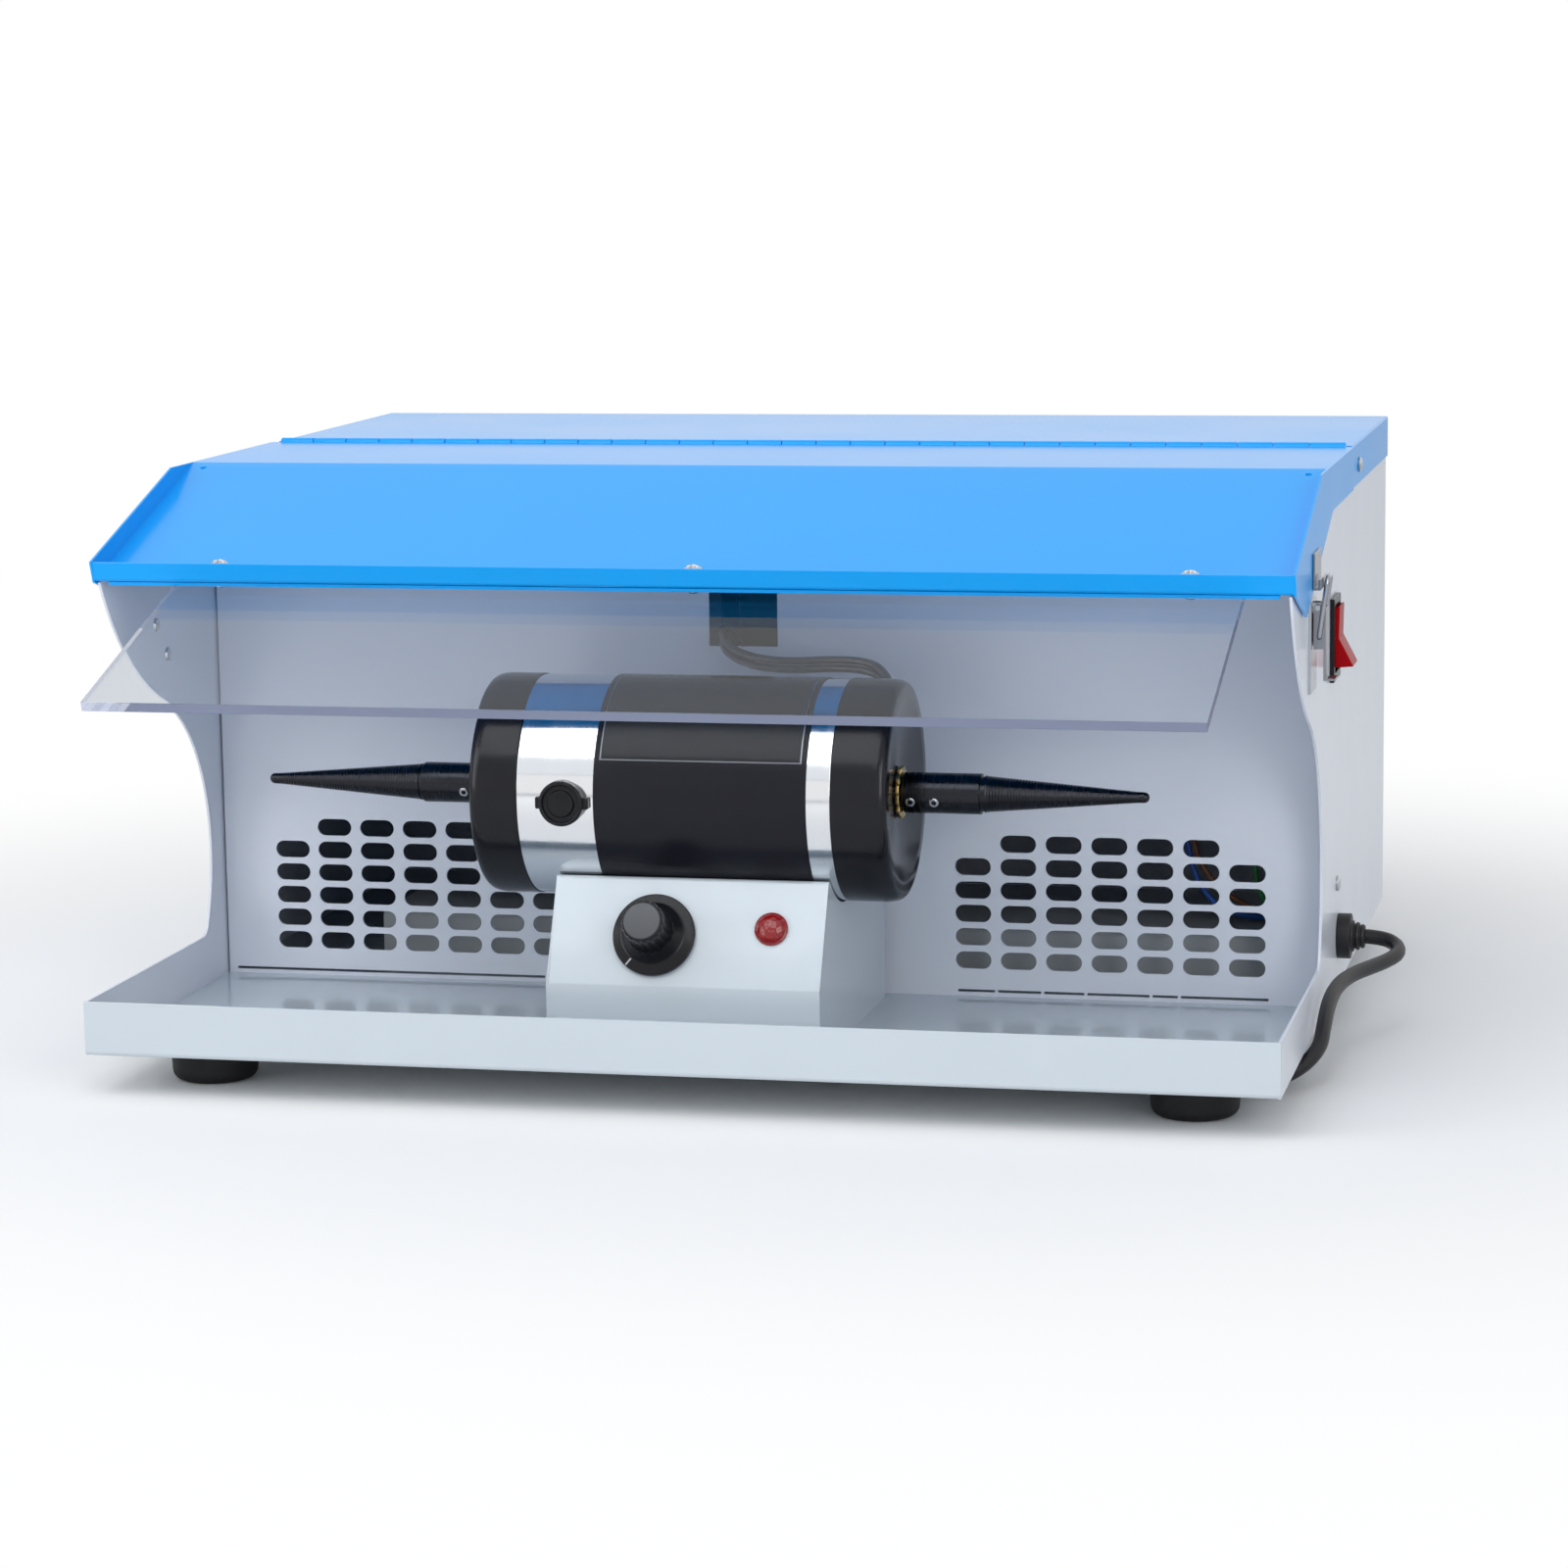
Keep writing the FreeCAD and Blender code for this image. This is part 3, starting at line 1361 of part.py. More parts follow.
def spindle_side(way):
    """The motor's middle plane mirrors the right-hand spindle to the left."""
    return lambda x: motor_x + way * (x - motor_x)


def make_taper_spindles():
    """A sleeve with a bore for the shaft, a groove, and a long taper to a blunt tip."""
    spindles = []
    sleeve_tip = spindle_end + spindle_sleeve
    groove = sleeve_tip + spindle_groove
    bore = shaft_radius + spindle_fit
    chamfer = spindle_radius - spindle_neck
    tip = groove + spindle_cone
    profile = [(spindle_end, bore), (spindle_end, spindle_radius - chamfer / 2),
               (spindle_end + chamfer / 2, spindle_radius), (sleeve_tip, spindle_radius),
               (sleeve_tip, spindle_neck), (groove, spindle_neck), (groove, spindle_cone_radius),
               (tip - spindle_tip_radius, spindle_tip_radius),
               (tip - spindle_point, spindle_point_radius), (tip, 0),
               (spindle_end + spindle_bore, 0), (spindle_end + spindle_bore, bore)]
    for way in (-1, 1):
        side = spindle_side(way)
        moved = [(abs(side(x) - side(spindle_end)), r) for x, r in profile]
        spindle = turned(moved, (side(spindle_end), motor_y, motor_z), (way, 0, 0))
        holes = [screw_hole(side(x), spindle_radius + over, set_screw_radius) for x in set_screw_places()]
        spindles.append(spindle.cut(group(holes)))
    return group(spindles)


def set_screw_places():
    return [spindle_end + set_screw_first, spindle_end + set_screw_first + set_screw_pitch]


def set_screw_way():
    angle = math.radians(set_screw_angle)
    return Vector(0, -math.cos(angle), -math.sin(angle))


def screw_hole(x, reach, radius):
    return Part.makeCylinder(radius, reach, Vector(x, motor_y, motor_z), set_screw_way())


def make_set_screws():
    screws = []
    for way in (-1, 1):
        side = spindle_side(way)
        for x in set_screw_places():
            outer = spindle_radius - set_screw_sink
            base = Vector(side(x), motor_y, motor_z) + set_screw_way() * (outer - set_screw_depth)
            screws.append(Part.makeCylinder(set_screw_radius, set_screw_depth, base, set_screw_way()))
    return group(screws)


def make_lock_washers():
    washers = []
    for way in (-1, 1):
        side = spindle_side(way)
        start = side(spindle_end) - way * (washer_gap + washer_thickness)
        washer = Part.makeCylinder(washer_radius, washer_thickness, Vector(start, motor_y, motor_z),
                                   Vector(way, 0, 0))
        cuts = [Part.makeCylinder(shaft_radius, washer_thickness + over * 2,
                                  Vector(start - way * over, motor_y, motor_z), Vector(way, 0, 0))]
        for i in range(washer_dents):
            angle = 2 * math.pi * i / washer_dents
            cuts.append(Part.makeCylinder(washer_dent, washer_thickness + over * 2,
                                          Vector(start - way * over,
                                                 motor_y + washer_radius * math.cos(angle),
                                                 motor_z + washer_radius * math.sin(angle)),
                                          Vector(way, 0, 0)))
        washers.append(washer.cut(group(cuts)))
    return group(washers)


def make_motor_shaft():
    side = spindle_side(-1)
    reach = spindle_end + spindle_bore - rest_gap
    return rod_x(side(reach), reach, motor_y, motor_z, shaft_radius)


def fan_back():
    return depth - sheet


def fan_front():
    return fan_back() - fan_depth


def make_fan_frame():
    half = fan_size / 2
    y0 = fan_front()
    y1 = fan_back()
    flanges = []
    for a, b in ((y0, y0 + fan_flange), (y1 - fan_flange, y1)):
        flanges.append(box(fan_x - half, fan_x + half, a, b, fan_z - half, fan_z + half))
    duct = rod_y(y0, y1, fan_x, fan_z, fan_bore + fan_wall)
    bore = rod_y(y0 - over, y1 + over, fan_x, fan_z, fan_bore)
    body = fused(flanges + [duct]).cut(bore)
    spider = [rod_y(y1 - fan_plate, y1, fan_x, fan_z, fan_hub - fan_hub_wall)]
    for i in range(fan_struts):
        strut = box(fan_stator, fan_bore + fan_wall / 2, y1 - fan_plate, y1, -fan_strut / 2, fan_strut / 2)
        strut.rotate(Vector(0, 0, 0), Vector(0, 1, 0), 360 * (i + 0.5) / fan_struts)
        strut.translate(Vector(fan_x, 0, fan_z))
        spider.append(strut)
    return fused([body] + spider)


def make_fan_motor():
    y1 = fan_back() - fan_plate
    y0 = y1 - fan_stator_depth
    stator = rod_y(y0, y1, fan_x, fan_z, fan_stator)
    pin = rod_y(fan_front() + fan_front_gap + fan_hub_wall, y0, fan_x, fan_z, fan_pin_radius)
    return fused([stator, pin])


def make_fan_impeller():
    front = fan_front() + fan_front_gap
    back = front + fan_hub_depth
    cup = rod_y(front, back, fan_x, fan_z, fan_hub)
    hollow = rod_y(front + fan_hub_wall, back + over, fan_x, fan_z, fan_hub - fan_hub_wall)
    boss_end = fan_back() - fan_plate - fan_stator_depth - rest_gap
    boss = rod_y(front, boss_end, fan_x, fan_z, fan_boss)
    bore = rod_y(front + fan_hub_wall, back + over, fan_x, fan_z, fan_pin_radius + fan_pin_fit)
    blades = []
    middle = (front + back) / 2
    for i in range(fan_blades):
        blade = box(fan_hub - fan_hub_wall / 2, fan_bore - fan_tip_gap, -fan_blade_chord / 2,
                    fan_blade_chord / 2, -fan_blade_thickness / 2, fan_blade_thickness / 2)
        blade.rotate(Vector(0, 0, 0), Vector(1, 0, 0), fan_blade_pitch)
        blade.rotate(Vector(0, 0, 0), Vector(0, 1, 0), 360 * i / fan_blades)
        blade.translate(Vector(fan_x, middle, fan_z))
        blades.append(blade)
    rim = rod_y(front, back, fan_x, fan_z, fan_bore - fan_tip_gap)
    blades = [blade.common(rim) for blade in blades]
    return fused([cup.cut(hollow), boss] + blades).cut(bore)


def make_filter_frame():
    half = filter_size / 2
    inner = half - filter_border
    y1 = fan_front() - rest_gap
    y0 = y1 - filter_depth
    frame = box(fan_x - half, fan_x + half, y0, y1, fan_z - half, fan_z + half)
    hollow = box(fan_x - inner, fan_x + inner, y0 + filter_lip, y1 + over, fan_z - inner, fan_z + inner)
    window = inner - filter_lip
    mouth = box(fan_x - window, fan_x + window, y0 - over, y0 + filter_lip + over,
                fan_z - window, fan_z + window)
    bars = [box(fan_x - inner, fan_x + inner, y0, y0 + filter_lip, fan_z - filter_bar / 2,
                fan_z + filter_bar / 2),
            box(fan_x - filter_bar / 2, fan_x + filter_bar / 2, y0, y0 + filter_lip,
                fan_z - inner, fan_z + inner)]
    return fused([frame.cut(group([hollow, mouth]))] + bars)


def make_filter_pad():
    half = filter_size / 2 - filter_border - rest_gap
    y1 = fan_front() - rest_gap * 2
    y0 = fan_front() - rest_gap - filter_depth + filter_lip + rest_gap
    return box(fan_x - half, fan_x + half, y0, y1, fan_z - half, fan_z + half)


def make_terminal_block():
    x1 = terminal_left + terminal_length
    z1 = ledge_z + terminal_height
    block = box(terminal_left, x1, terminal_y, terminal_y + terminal_width, ledge_z, z1)
    pitch = terminal_length / terminal_ways
    cuts = []
    for i in range(terminal_ways):
        x = terminal_left + pitch * (i + 0.5)
        cuts.append(rod_z(z1 - terminal_height / 2, z1 + over, x, terminal_y + terminal_width / 2,
                          terminal_hole))
    for i in range(1, terminal_ways):
        x = terminal_left + pitch * i
        cuts.append(box(x - terminal_hole / 2, x + terminal_hole / 2, terminal_y - over,
                        terminal_y + terminal_width + over, z1 - terminal_height / 4, z1 + over))
    return block.cut(group(cuts))


def make_motor_cable():
    """Two cores side by side, from the right-hand cap over the wall's notch to the terminals."""
    cores = []
    for step in (-0.5, 0.5):
        points = [(x, y, z + step * cable_pair) for x, y, z in moved_by(motor_x, cable_route)]
        tube, length, radii = tube_along(points, cable_radius)
        cores.append(tube)
        print("motor cable core", round(length, 1), "mm, least arc", round(min(radii), 1))
    return group(cores)


def make_wire(name):
    tube, length, radii = tube_along(moved_by(width, wire_routes[name]), wire_radius)
    print(name, round(length, 1), "mm, least arc", round(min(radii), 1))
    return tube


def make_switch_body():
    y0 = switch_y - switch_width / 2
    y1 = switch_y + switch_width / 2
    z0 = switch_z - switch_height / 2
    z1 = switch_z + switch_height / 2
    inset = switch_border / 2 + hole_gap
    bezel = box(width, width + switch_bezel, y0, y1, z0, z1)
    shell = box(width - switch_body_depth, width, y0 + inset, y1 - inset, z0 + inset, z1 - inset)
    hollow = box(width - switch_body_depth + switch_wall, width + over,
                 y0 + switch_border, y1 - switch_border, z0 + switch_border, z1 - switch_border)
    body = fused([bezel, shell]).cut(hollow)
    spades = []
    for i in (-1, 0, 1):
        z = switch_z + i * spade_pitch
        spades.append(box(width - switch_body_depth - spade_length, width - switch_body_depth,
                          switch_y - spade_width / 2, switch_y + spade_width / 2,
                          z - spade_thickness / 2, z + spade_thickness / 2))
    return group([body] + spades)


def make_switch_rocker():
    """A rocker with two faces that meet in a shallow vee, tipped in at the top."""
    half = switch_width / 2 - switch_border - rocker_gap
    outline = [(-rocker_back, -rocker_back_half), (0, -rocker_root), (rocker_end, -rocker_half),
               (rocker_centre, 0), (rocker_end, rocker_half), (0, rocker_root),
               (-rocker_back, rocker_back_half)]
    corners = [Vector(width + out, switch_y - half, switch_z + up) for out, up in outline]
    rocker = Part.Face(Part.makePolygon(corners + corners[:1])).extrude(Vector(0, 2 * half, 0))
    rocker.rotate(Vector(width, switch_y, switch_z), Vector(0, 1, 0), -rocker_tilt)
    return rocker


def make_cord_gland():
    profile = [(-sheet - gland_inner, 0), (-sheet - gland_inner, gland_thread),
               (0, gland_thread), (0, gland_radius), (gland_collar, gland_radius),
               (gland_collar, gland_taper_radius), (gland_reach, gland_tip_radius), (gland_reach, 0)]
    body = turned(profile, (width, gland_y, gland_z), (1, 0, 0))
    nut_start = width - sheet - gland_nut
    nut = rod_x(nut_start, width - sheet, gland_y, gland_z, gland_nut_radius)
    nut = nut.cut(rod_x(nut_start - over, width, gland_y, gland_z, gland_thread))
    return group([body, nut])


def make_power_cord():
    tube, length, radii = tube_along(moved_by(width, cord_route), cord_radius)
    section = math.pi * cord_radius ** 2
    print("cord stretch", round(length, 1), "mm, volume share", round(tube.Volume / section / length, 4))
    print("cord radii", [round(r, 1) for r in radii])
    return tube


def coil_spot(quarters):
    """A point of the coil, counted in quarter turns from its outer start."""
    lower = 4 * coil_turns
    climb = 2
    if quarters <= lower:
        radius = coil_radius - coil_pitch * quarters / 4
        height = 0.0
    elif quarters <= lower + climb:
        share = (quarters - lower) / climb
        radius = coil_radius - coil_pitch * coil_turns - coil_dip * math.sin(math.pi * share)
        height = coil_layer * share
    else:
        radius = coil_radius - coil_pitch * coil_turns + coil_pitch * (quarters - lower - climb) / 4
        height = coil_layer
    angle = math.radians(90 * quarters)
    last_x, last_y, last_z = moved_by(width, cord_route)[-1]
    centre_x = last_x - coil_radius
    centre_y = last_y + 2 * cord_radius
    return Vector(centre_x + radius * math.cos(angle), centre_y + radius * math.sin(angle),
                  last_z + height)


def make_power_cord_coil():
    last = 4 * coil_turns + 2 + coil_upper_quarters
    spots = [coil_spot(q) for q in range(last + 1)]
    ways = []
    for q in range(1, last):
        step = coil_spot(q + coil_step_share) - coil_spot(q - coil_step_share)
        ways.append(step.normalize())
    ways = [Vector(0, 1, 0)] + ways + [Vector(-1, 0, 0)]
    edges = [line(Vector(*moved_by(width, cord_route)[-1]), spots[0])]
    for i in range(last):
        edges += two_arcs(spots[i], ways[i], spots[i + 1], ways[i + 1])
    tail = spots[-1] + ways[-1] * coil_tail
    edges.append(line(spots[-1], tail))
    path = Part.Wire(edges)
    coil = swept(path, cord_radius)
    section = math.pi * cord_radius ** 2
    print("coil", round(path.Length, 1), "mm, volume share", round(coil.Volume / section / path.Length, 4))
    report_least_gap(path)
    return coil, tail


def report_least_gap(path):
    """Points along the path, each against those more than three diameters further on."""
    spots = path.discretize(coil_probe_count)
    step = path.Length / (coil_probe_count - 1)
    skip = int(cord_radius * 6 / step) + 1
    least = min((spots[i] - spots[j]).Length
                for i in range(coil_probe_count) for j in range(i + skip, coil_probe_count))
    print("coil least gap", round(least - 2 * cord_radius, 2), "mm")


def make_power_plug(tail):
    """A moulded plug with a tapered neck, two blades and a round earth pin."""
    half_height = tail.z - floor_z
    neck = turned([(0, 0), (0, plug_neck_start), (plug_neck, plug_neck_radius), (plug_neck, 0)],
                  (tail.x, tail.y, tail.z), (-1, 0, 0))
    x1 = tail.x - plug_neck
    x0 = x1 - plug_length
    body = box(x0, x1, tail.y - plug_width / 2, tail.y + plug_width / 2,
               tail.z - half_height, tail.z + half_height)
    body = body.makeFillet(plug_edge, [e for e in body.Edges if e.BoundBox.XLength > plug_length / 2])
    pieces = [fused([neck, body])]
    for side in (-1, 1):
        y = tail.y + side * blade_pitch / 2
        pieces.append(box(x0 - blade_length, x0, y - blade_thickness / 2, y + blade_thickness / 2,
                          tail.z - blade_width / 2 + earth_pin_drop / 2,
                          tail.z + blade_width / 2 + earth_pin_drop / 2))
    pieces.append(rod_x(x0 - earth_pin_length, x0, tail.y, tail.z - earth_pin_drop, earth_pin_radius))
    return group(pieces)


visor_front_y = hood_spot(-visor_reach, -lid_sheet - strip_thickness - visor_thickness)[0]
visor_front_y = min(visor_front_y, hood_spot(-visor_reach, -lid_sheet - strip_thickness)[0])
back_y = depth + cover_sheet + screw_head_height
middle_y = (visor_front_y + back_y) / 2

os.makedirs("parts", exist_ok=True)


def place_and_write(name, shape):
    """The part stands on its feet, its footprint's centre at the origin."""
    moved = shape.copy()
    moved.translate(Vector(-width / 2, -middle_y, foot_height))
    moved.exportStep("parts/" + name + ".step")


coil_shape, coil_end = make_power_cord_coil()
nodes = {
    "base_tray": make_base_tray(),
    "side_panel_left": make_side_panel(0, []),
    "side_panel_right": make_side_panel_right(),
    "back_wall": make_back_wall(),
    "rear_panel": make_rear_panel(),
    "inner_ledge": make_inner_ledge(),
    "rear_cover": make_rear_cover(),
    "case_screws": make_case_screws(),
    "hinge_leaf_fixed": make_hinge_leaf(0, 1, hinge_pin_fit),
    "hinge_leaf_moving": make_hinge_leaf(1, -1, 0),
    "hinge_pin": rod_x(hinge_end, width - hinge_end, hinge_y, hinge_z, hinge_pin_radius),
    "rubber_feet": make_rubber_feet(),
    "control_box": make_control_box(),
    "indicator_lamp": make_indicator_lamp(),
    "potentiometer": make_potentiometer(),
    "potentiometer_shaft": make_potentiometer_shaft(),
    "speed_knob": make_speed_knob(),
    "speed_board": make_speed_board(),
    "motor_cradle": make_motor_cradle(),
    "cradle_bolts": make_cradle_bolts(),
    "motor_tube": make_motor_tube(),
    "motor_sleeve": make_motor_sleeve(),
    "end_cap_left": make_end_cap(cap_left_end, tube_left, 1),
    "end_cap_right": make_end_cap(cap_right_end, tube_right, -1),
    "stator_core": make_stator_core(),
    "bearings": make_bearings(),
    "carbon_brushes": make_carbon_brushes(),
    "brush_caps": make_brush_caps(),
    "motor_cable": make_motor_cable(),
    "fan_frame": make_fan_frame(),
    "fan_motor": make_fan_motor(),
    "fan_impeller": make_fan_impeller(),
    "filter_frame": make_filter_frame(),
    "filter_pad": make_filter_pad(),
    "terminal_block": make_terminal_block(),
    "switch_body": make_switch_body(),
    "switch_rocker": make_switch_rocker(),
    "latch_bases": make_latch_bases(),
    "latch_lever_left": make_latch_lever(0, -1),
    "latch_lever_right": make_latch_lever(width, 1),
    "latch_bail_left": make_latch_bail(0, -1),
    "latch_bail_right": make_latch_bail(width, 1),
    "latch_keepers": make_latch_keepers(),
    "lid_panel": make_lid_panel(),
    "clamp_strip": make_clamp_strip(),
    "visor": make_visor(),
    "visor_screws": make_visor_screws(),
    "motor_shaft": make_motor_shaft(),
    "armature": make_armature(),
    "commutator": make_commutator(),
    "taper_spindles": make_taper_spindles(),
    "lock_washers": make_lock_washers(),
    "set_screws": make_set_screws(),
    "cord_gland": make_cord_gland(),
    "power_cord": make_power_cord(),
    "power_cord_coil": coil_shape,
    "power_plug": make_power_plug(coil_end),
}
for wire_name in wire_routes:
    nodes[wire_name] = make_wire(wire_name)
for node_name, node_shape in nodes.items():
    place_and_write(node_name, node_shape)
print(len(nodes), "nodes; middle y", round(middle_y, 4))
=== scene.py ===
import math

import bmesh
import bpy
import numpy as np
from mathutils import Matrix, Vector


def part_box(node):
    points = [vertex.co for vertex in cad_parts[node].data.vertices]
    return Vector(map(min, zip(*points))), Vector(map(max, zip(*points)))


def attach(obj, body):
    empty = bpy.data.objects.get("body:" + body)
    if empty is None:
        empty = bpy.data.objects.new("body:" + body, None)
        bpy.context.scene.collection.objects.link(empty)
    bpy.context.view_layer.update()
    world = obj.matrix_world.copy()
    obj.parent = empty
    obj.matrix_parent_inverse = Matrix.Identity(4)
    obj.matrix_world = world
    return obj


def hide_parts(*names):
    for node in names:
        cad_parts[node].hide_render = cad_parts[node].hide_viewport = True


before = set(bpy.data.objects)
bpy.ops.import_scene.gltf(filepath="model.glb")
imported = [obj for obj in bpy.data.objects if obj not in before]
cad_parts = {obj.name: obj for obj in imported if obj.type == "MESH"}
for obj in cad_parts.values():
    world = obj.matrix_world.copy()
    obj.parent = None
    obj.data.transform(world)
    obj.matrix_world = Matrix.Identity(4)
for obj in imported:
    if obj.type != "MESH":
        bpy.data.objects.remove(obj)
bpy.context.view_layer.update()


def hung(name, data):
    """A new object with its data, linked into the scene."""
    holder = bpy.data.objects.new(name, data)
    bpy.context.collection.objects.link(holder)
    return holder


# Camera
# It stands a little to the right of the machine and above the motor, and looks
# slightly down, with a long lens.
yaw, pitch, roll = 0.22504, -0.15882, -0.01419
camera_place = (0.441246, -1.888232, 0.419546)
forward = np.array([-math.sin(yaw) * math.cos(pitch), math.cos(yaw) * math.cos(pitch),
                    math.sin(pitch)])
level = np.array([math.cos(yaw), math.sin(yaw), 0.0])
upright = np.cross(level, forward)
rightward = level * math.cos(roll) + upright * math.sin(roll)
upward = upright * math.cos(roll) - level * math.sin(roll)
camera = hung("camera", bpy.data.cameras.new("camera"))
turn = Matrix(np.stack([rightward, upward, -forward], axis=1).tolist()).to_4x4()
camera.matrix_world = Matrix.Translation(camera_place) @ turn
camera.data.lens = 101.83
camera.data.sensor_width = 36.0
camera.data.clip_end = 50.0
bpy.context.scene.camera = camera
bpy.context.scene.view_settings.view_transform = "Standard"


def lamp(name, place, aim, width, height, watts):
    """A soft rectangle of light that hangs at a place and faces a point."""
    light = bpy.data.lights.new(name, "AREA")
    light.shape = "RECTANGLE"
    light.size = width
    light.size_y = height
    light.energy = watts
    holder = hung(name, light)
    holder.location = place
    holder.rotation_euler = (Vector(place) - Vector(aim)).to_track_quat("Z", "Y").to_euler()


# Studio light
# One wide lamp above and in front, and a tall one low at each side.
lamp("lamp_above", (-0.25, -1.15, 1.6), (0, 0, 0.12), 1.5, 1.1, 12.0)
lamp("lamp_right", (1.5, -1.9, 0.9), (0, 0, 0.1), 0.9, 1.4, 13.5)
lamp("lamp_left", (-1.6, -1.25, 0.8), (0, 0, 0.12), 0.8, 1.3, 10.5)


def added(tree, kind, values=None, operation=None):
    """A new shader node, with its operation and the values of some of its inputs."""
    node = tree.nodes.new("ShaderNode" + kind)
    if operation:
        node.operation = operation
    for socket, value in (values or {}).items():
        node.inputs[socket].default_value = value
    return node


def joined(tree, *links):
    """One link for each (node, its output, other node, its input)."""
    for source, output, target, socket in links:
        tree.links.new(source.outputs[output], target.inputs[socket])


# Surroundings
# The room is a plain soft grey for the light it gives, and white where it is seen
# directly, in a reflection or through the visor.
world = bpy.data.worlds.new("room")
bpy.context.scene.world = world
world.use_nodes = True
room = world.node_tree
room.nodes.clear()
seen = added(room, "LightPath")
soft = added(room, "Background", {"Color": (0.93, 0.96, 1.0, 1), "Strength": 0.65})
white = added(room, "Background", {"Color": (1, 1, 1, 1), "Strength": 1.0})
either = added(room, "Math", operation="MAXIMUM")
any_ray = added(room, "Math", operation="MAXIMUM")
room_mix = added(room, "MixShader")
room_out = added(room, "OutputWorld")
joined(room, (seen, "Is Camera Ray", either, 0), (seen, "Is Glossy Ray", either, 1),
       (either, 0, any_ray, 0), (seen, "Is Transmission Ray", any_ray, 1),
       (any_ray, 0, room_mix, "Fac"), (soft, 0, room_mix, 1), (white, 0, room_mix, 2),
       (room_mix, 0, room_out, "Surface"))


def blank_material(name, values=None):
    """A material with one Principled shader joined to its output."""
    material = bpy.data.materials.new(name)
    material.use_nodes = True
    tree = material.node_tree
    tree.nodes.clear()
    shader = added(tree, "BsdfPrincipled", values)
    joined(tree, (shader, 0, added(tree, "OutputMaterial"), "Surface"))
    return material, tree, shader


# Floor
# A pale matt floor that keeps the machine's shadow and fades to white further out.
edge = 6.0
floor_mesh = bpy.data.meshes.new("floor")
floor_mesh.from_pydata([(-edge, -edge, 0), (edge, -edge, 0), (edge, edge, 0), (-edge, edge, 0)],
                       [], [(0, 1, 2, 3)])
floor = hung("floor", floor_mesh)
floor_paint, tree, shader = blank_material(
    "pale_floor",
    {"Base Color": (0.88, 0.88, 0.88, 1), "Roughness": 0.9, "Specular IOR Level": 0.1})
glow = added(tree, "Emission")
seen = added(tree, "LightPath")
spot = added(tree, "TexCoord")
far = added(tree, "VectorMath", operation="LENGTH")
fade = added(tree, "MapRange", {"From Min": 0.28, "From Max": 0.85})
fade.interpolation_type = "SMOOTHSTEP"
both = added(tree, "Math", operation="MULTIPLY")
blend = added(tree, "MixShader")
joined(tree, (spot, "Object", far, 0), (far, "Value", fade, "Value"), (fade, 0, both, 0),
       (seen, "Is Camera Ray", both, 1), (both, 0, blend, "Fac"), (shader, 0, blend, 1),
       (glow, 0, blend, 2), (blend, 0, tree.nodes["Material Output"], "Surface"))
floor_mesh.materials.append(floor_paint)


def shared_effect(name, inputs, outputs):
    """An empty node group with its sockets: (name, socket type, default) for each input."""
    group = bpy.data.node_groups.new(name, "ShaderNodeTree")
    for label, kind, value in inputs:
        socket = group.interface.new_socket(label, in_out="INPUT", socket_type=kind)
        socket.default_value = value
    for label, kind in outputs:
        group.interface.new_socket(label, in_out="OUTPUT", socket_type=kind)
    return group, group.nodes.new("NodeGroupInput"), group.nodes.new("NodeGroupOutput")


def dressed(name, group, settings, pattern, gloss, values):
    """A material that takes its raised skin from a shared effect, and a roughness between
    the two values of gloss from one of the effect's patterns."""
    material, tree, shader = blank_material(name, values)
    effect = added(tree, "Group")
    effect.node_tree = group
    for label, value in settings.items():
        effect.inputs[label].default_value = value
    polish = added(tree, "MapRange", {"From Min": 0.3, "From Max": 0.7,
                                      "To Min": gloss[0], "To Max": gloss[1]})
    joined(tree, (effect, pattern, polish, "Value"), (polish, 0, shader, "Roughness"),
           (effect, "Normal", shader, "Normal"))
    return material, tree, shader, effect


# Sprayed and moulded skin
# Fine pimples as sprayed paint or moulded plastic has them, and a slow drift of shade.
skin, given, result = shared_effect(
    "sprayed_skin",
    [("Colour", "NodeSocketColor", (0.8, 0.8, 0.8, 1)), ("Grain", "NodeSocketFloat", 900.0),
     ("Depth", "NodeSocketFloat", 0.1), ("Drift", "NodeSocketFloat", 0.04)],
    [("Colour", "NodeSocketColor"), ("Mottle", "NodeSocketFloat"), ("Normal", "NodeSocketVector")])
spot = added(skin, "TexCoord")
pimples = added(skin, "TexNoise", {"Detail": 2.0})
raise_skin = added(skin, "Bump", {"Distance": 0.0004})
cloud = added(skin, "TexNoise", {"Scale": 14.0, "Detail": 4.0})
swing = added(skin, "MapRange", {"From Min": 0.3, "From Max": 0.7})
low = added(skin, "Math", {0: 1.0}, "SUBTRACT")
shade = added(skin, "VectorMath", operation="SCALE")
joined(skin, (spot, "Object", pimples, "Vector"), (given, "Grain", pimples, "Scale"),
       (pimples, "Fac", raise_skin, "Height"), (given, "Depth", raise_skin, "Strength"),
       (spot, "Object", cloud, "Vector"), (cloud, "Fac", swing, "Value"),
       (given, "Drift", low, 1), (low, 0, swing, "To Min"), (given, "Colour", shade, 0),
       (swing, 0, shade, "Scale"), (shade, "Vector", result, "Colour"),
       (cloud, "Fac", result, "Mottle"), (raise_skin, "Normal", result, "Normal"))


def coated(name, colour, gloss, grain=700.0, depth=0.1, drift=0.04, coat=0.0, shine=0.5):
    """Paint or moulded plastic: the skin's colour, pimples and mottled gloss on one shader."""
    material, tree, shader, effect = dressed(
        name, skin, {"Colour": (*colour, 1), "Grain": grain, "Depth": depth, "Drift": drift},
        "Mottle", gloss, {"Coat Weight": coat, "Coat Roughness": 0.06, "Specular IOR Level": shine})
    joined(tree, (effect, "Colour", shader, "Base Color"))
    return material


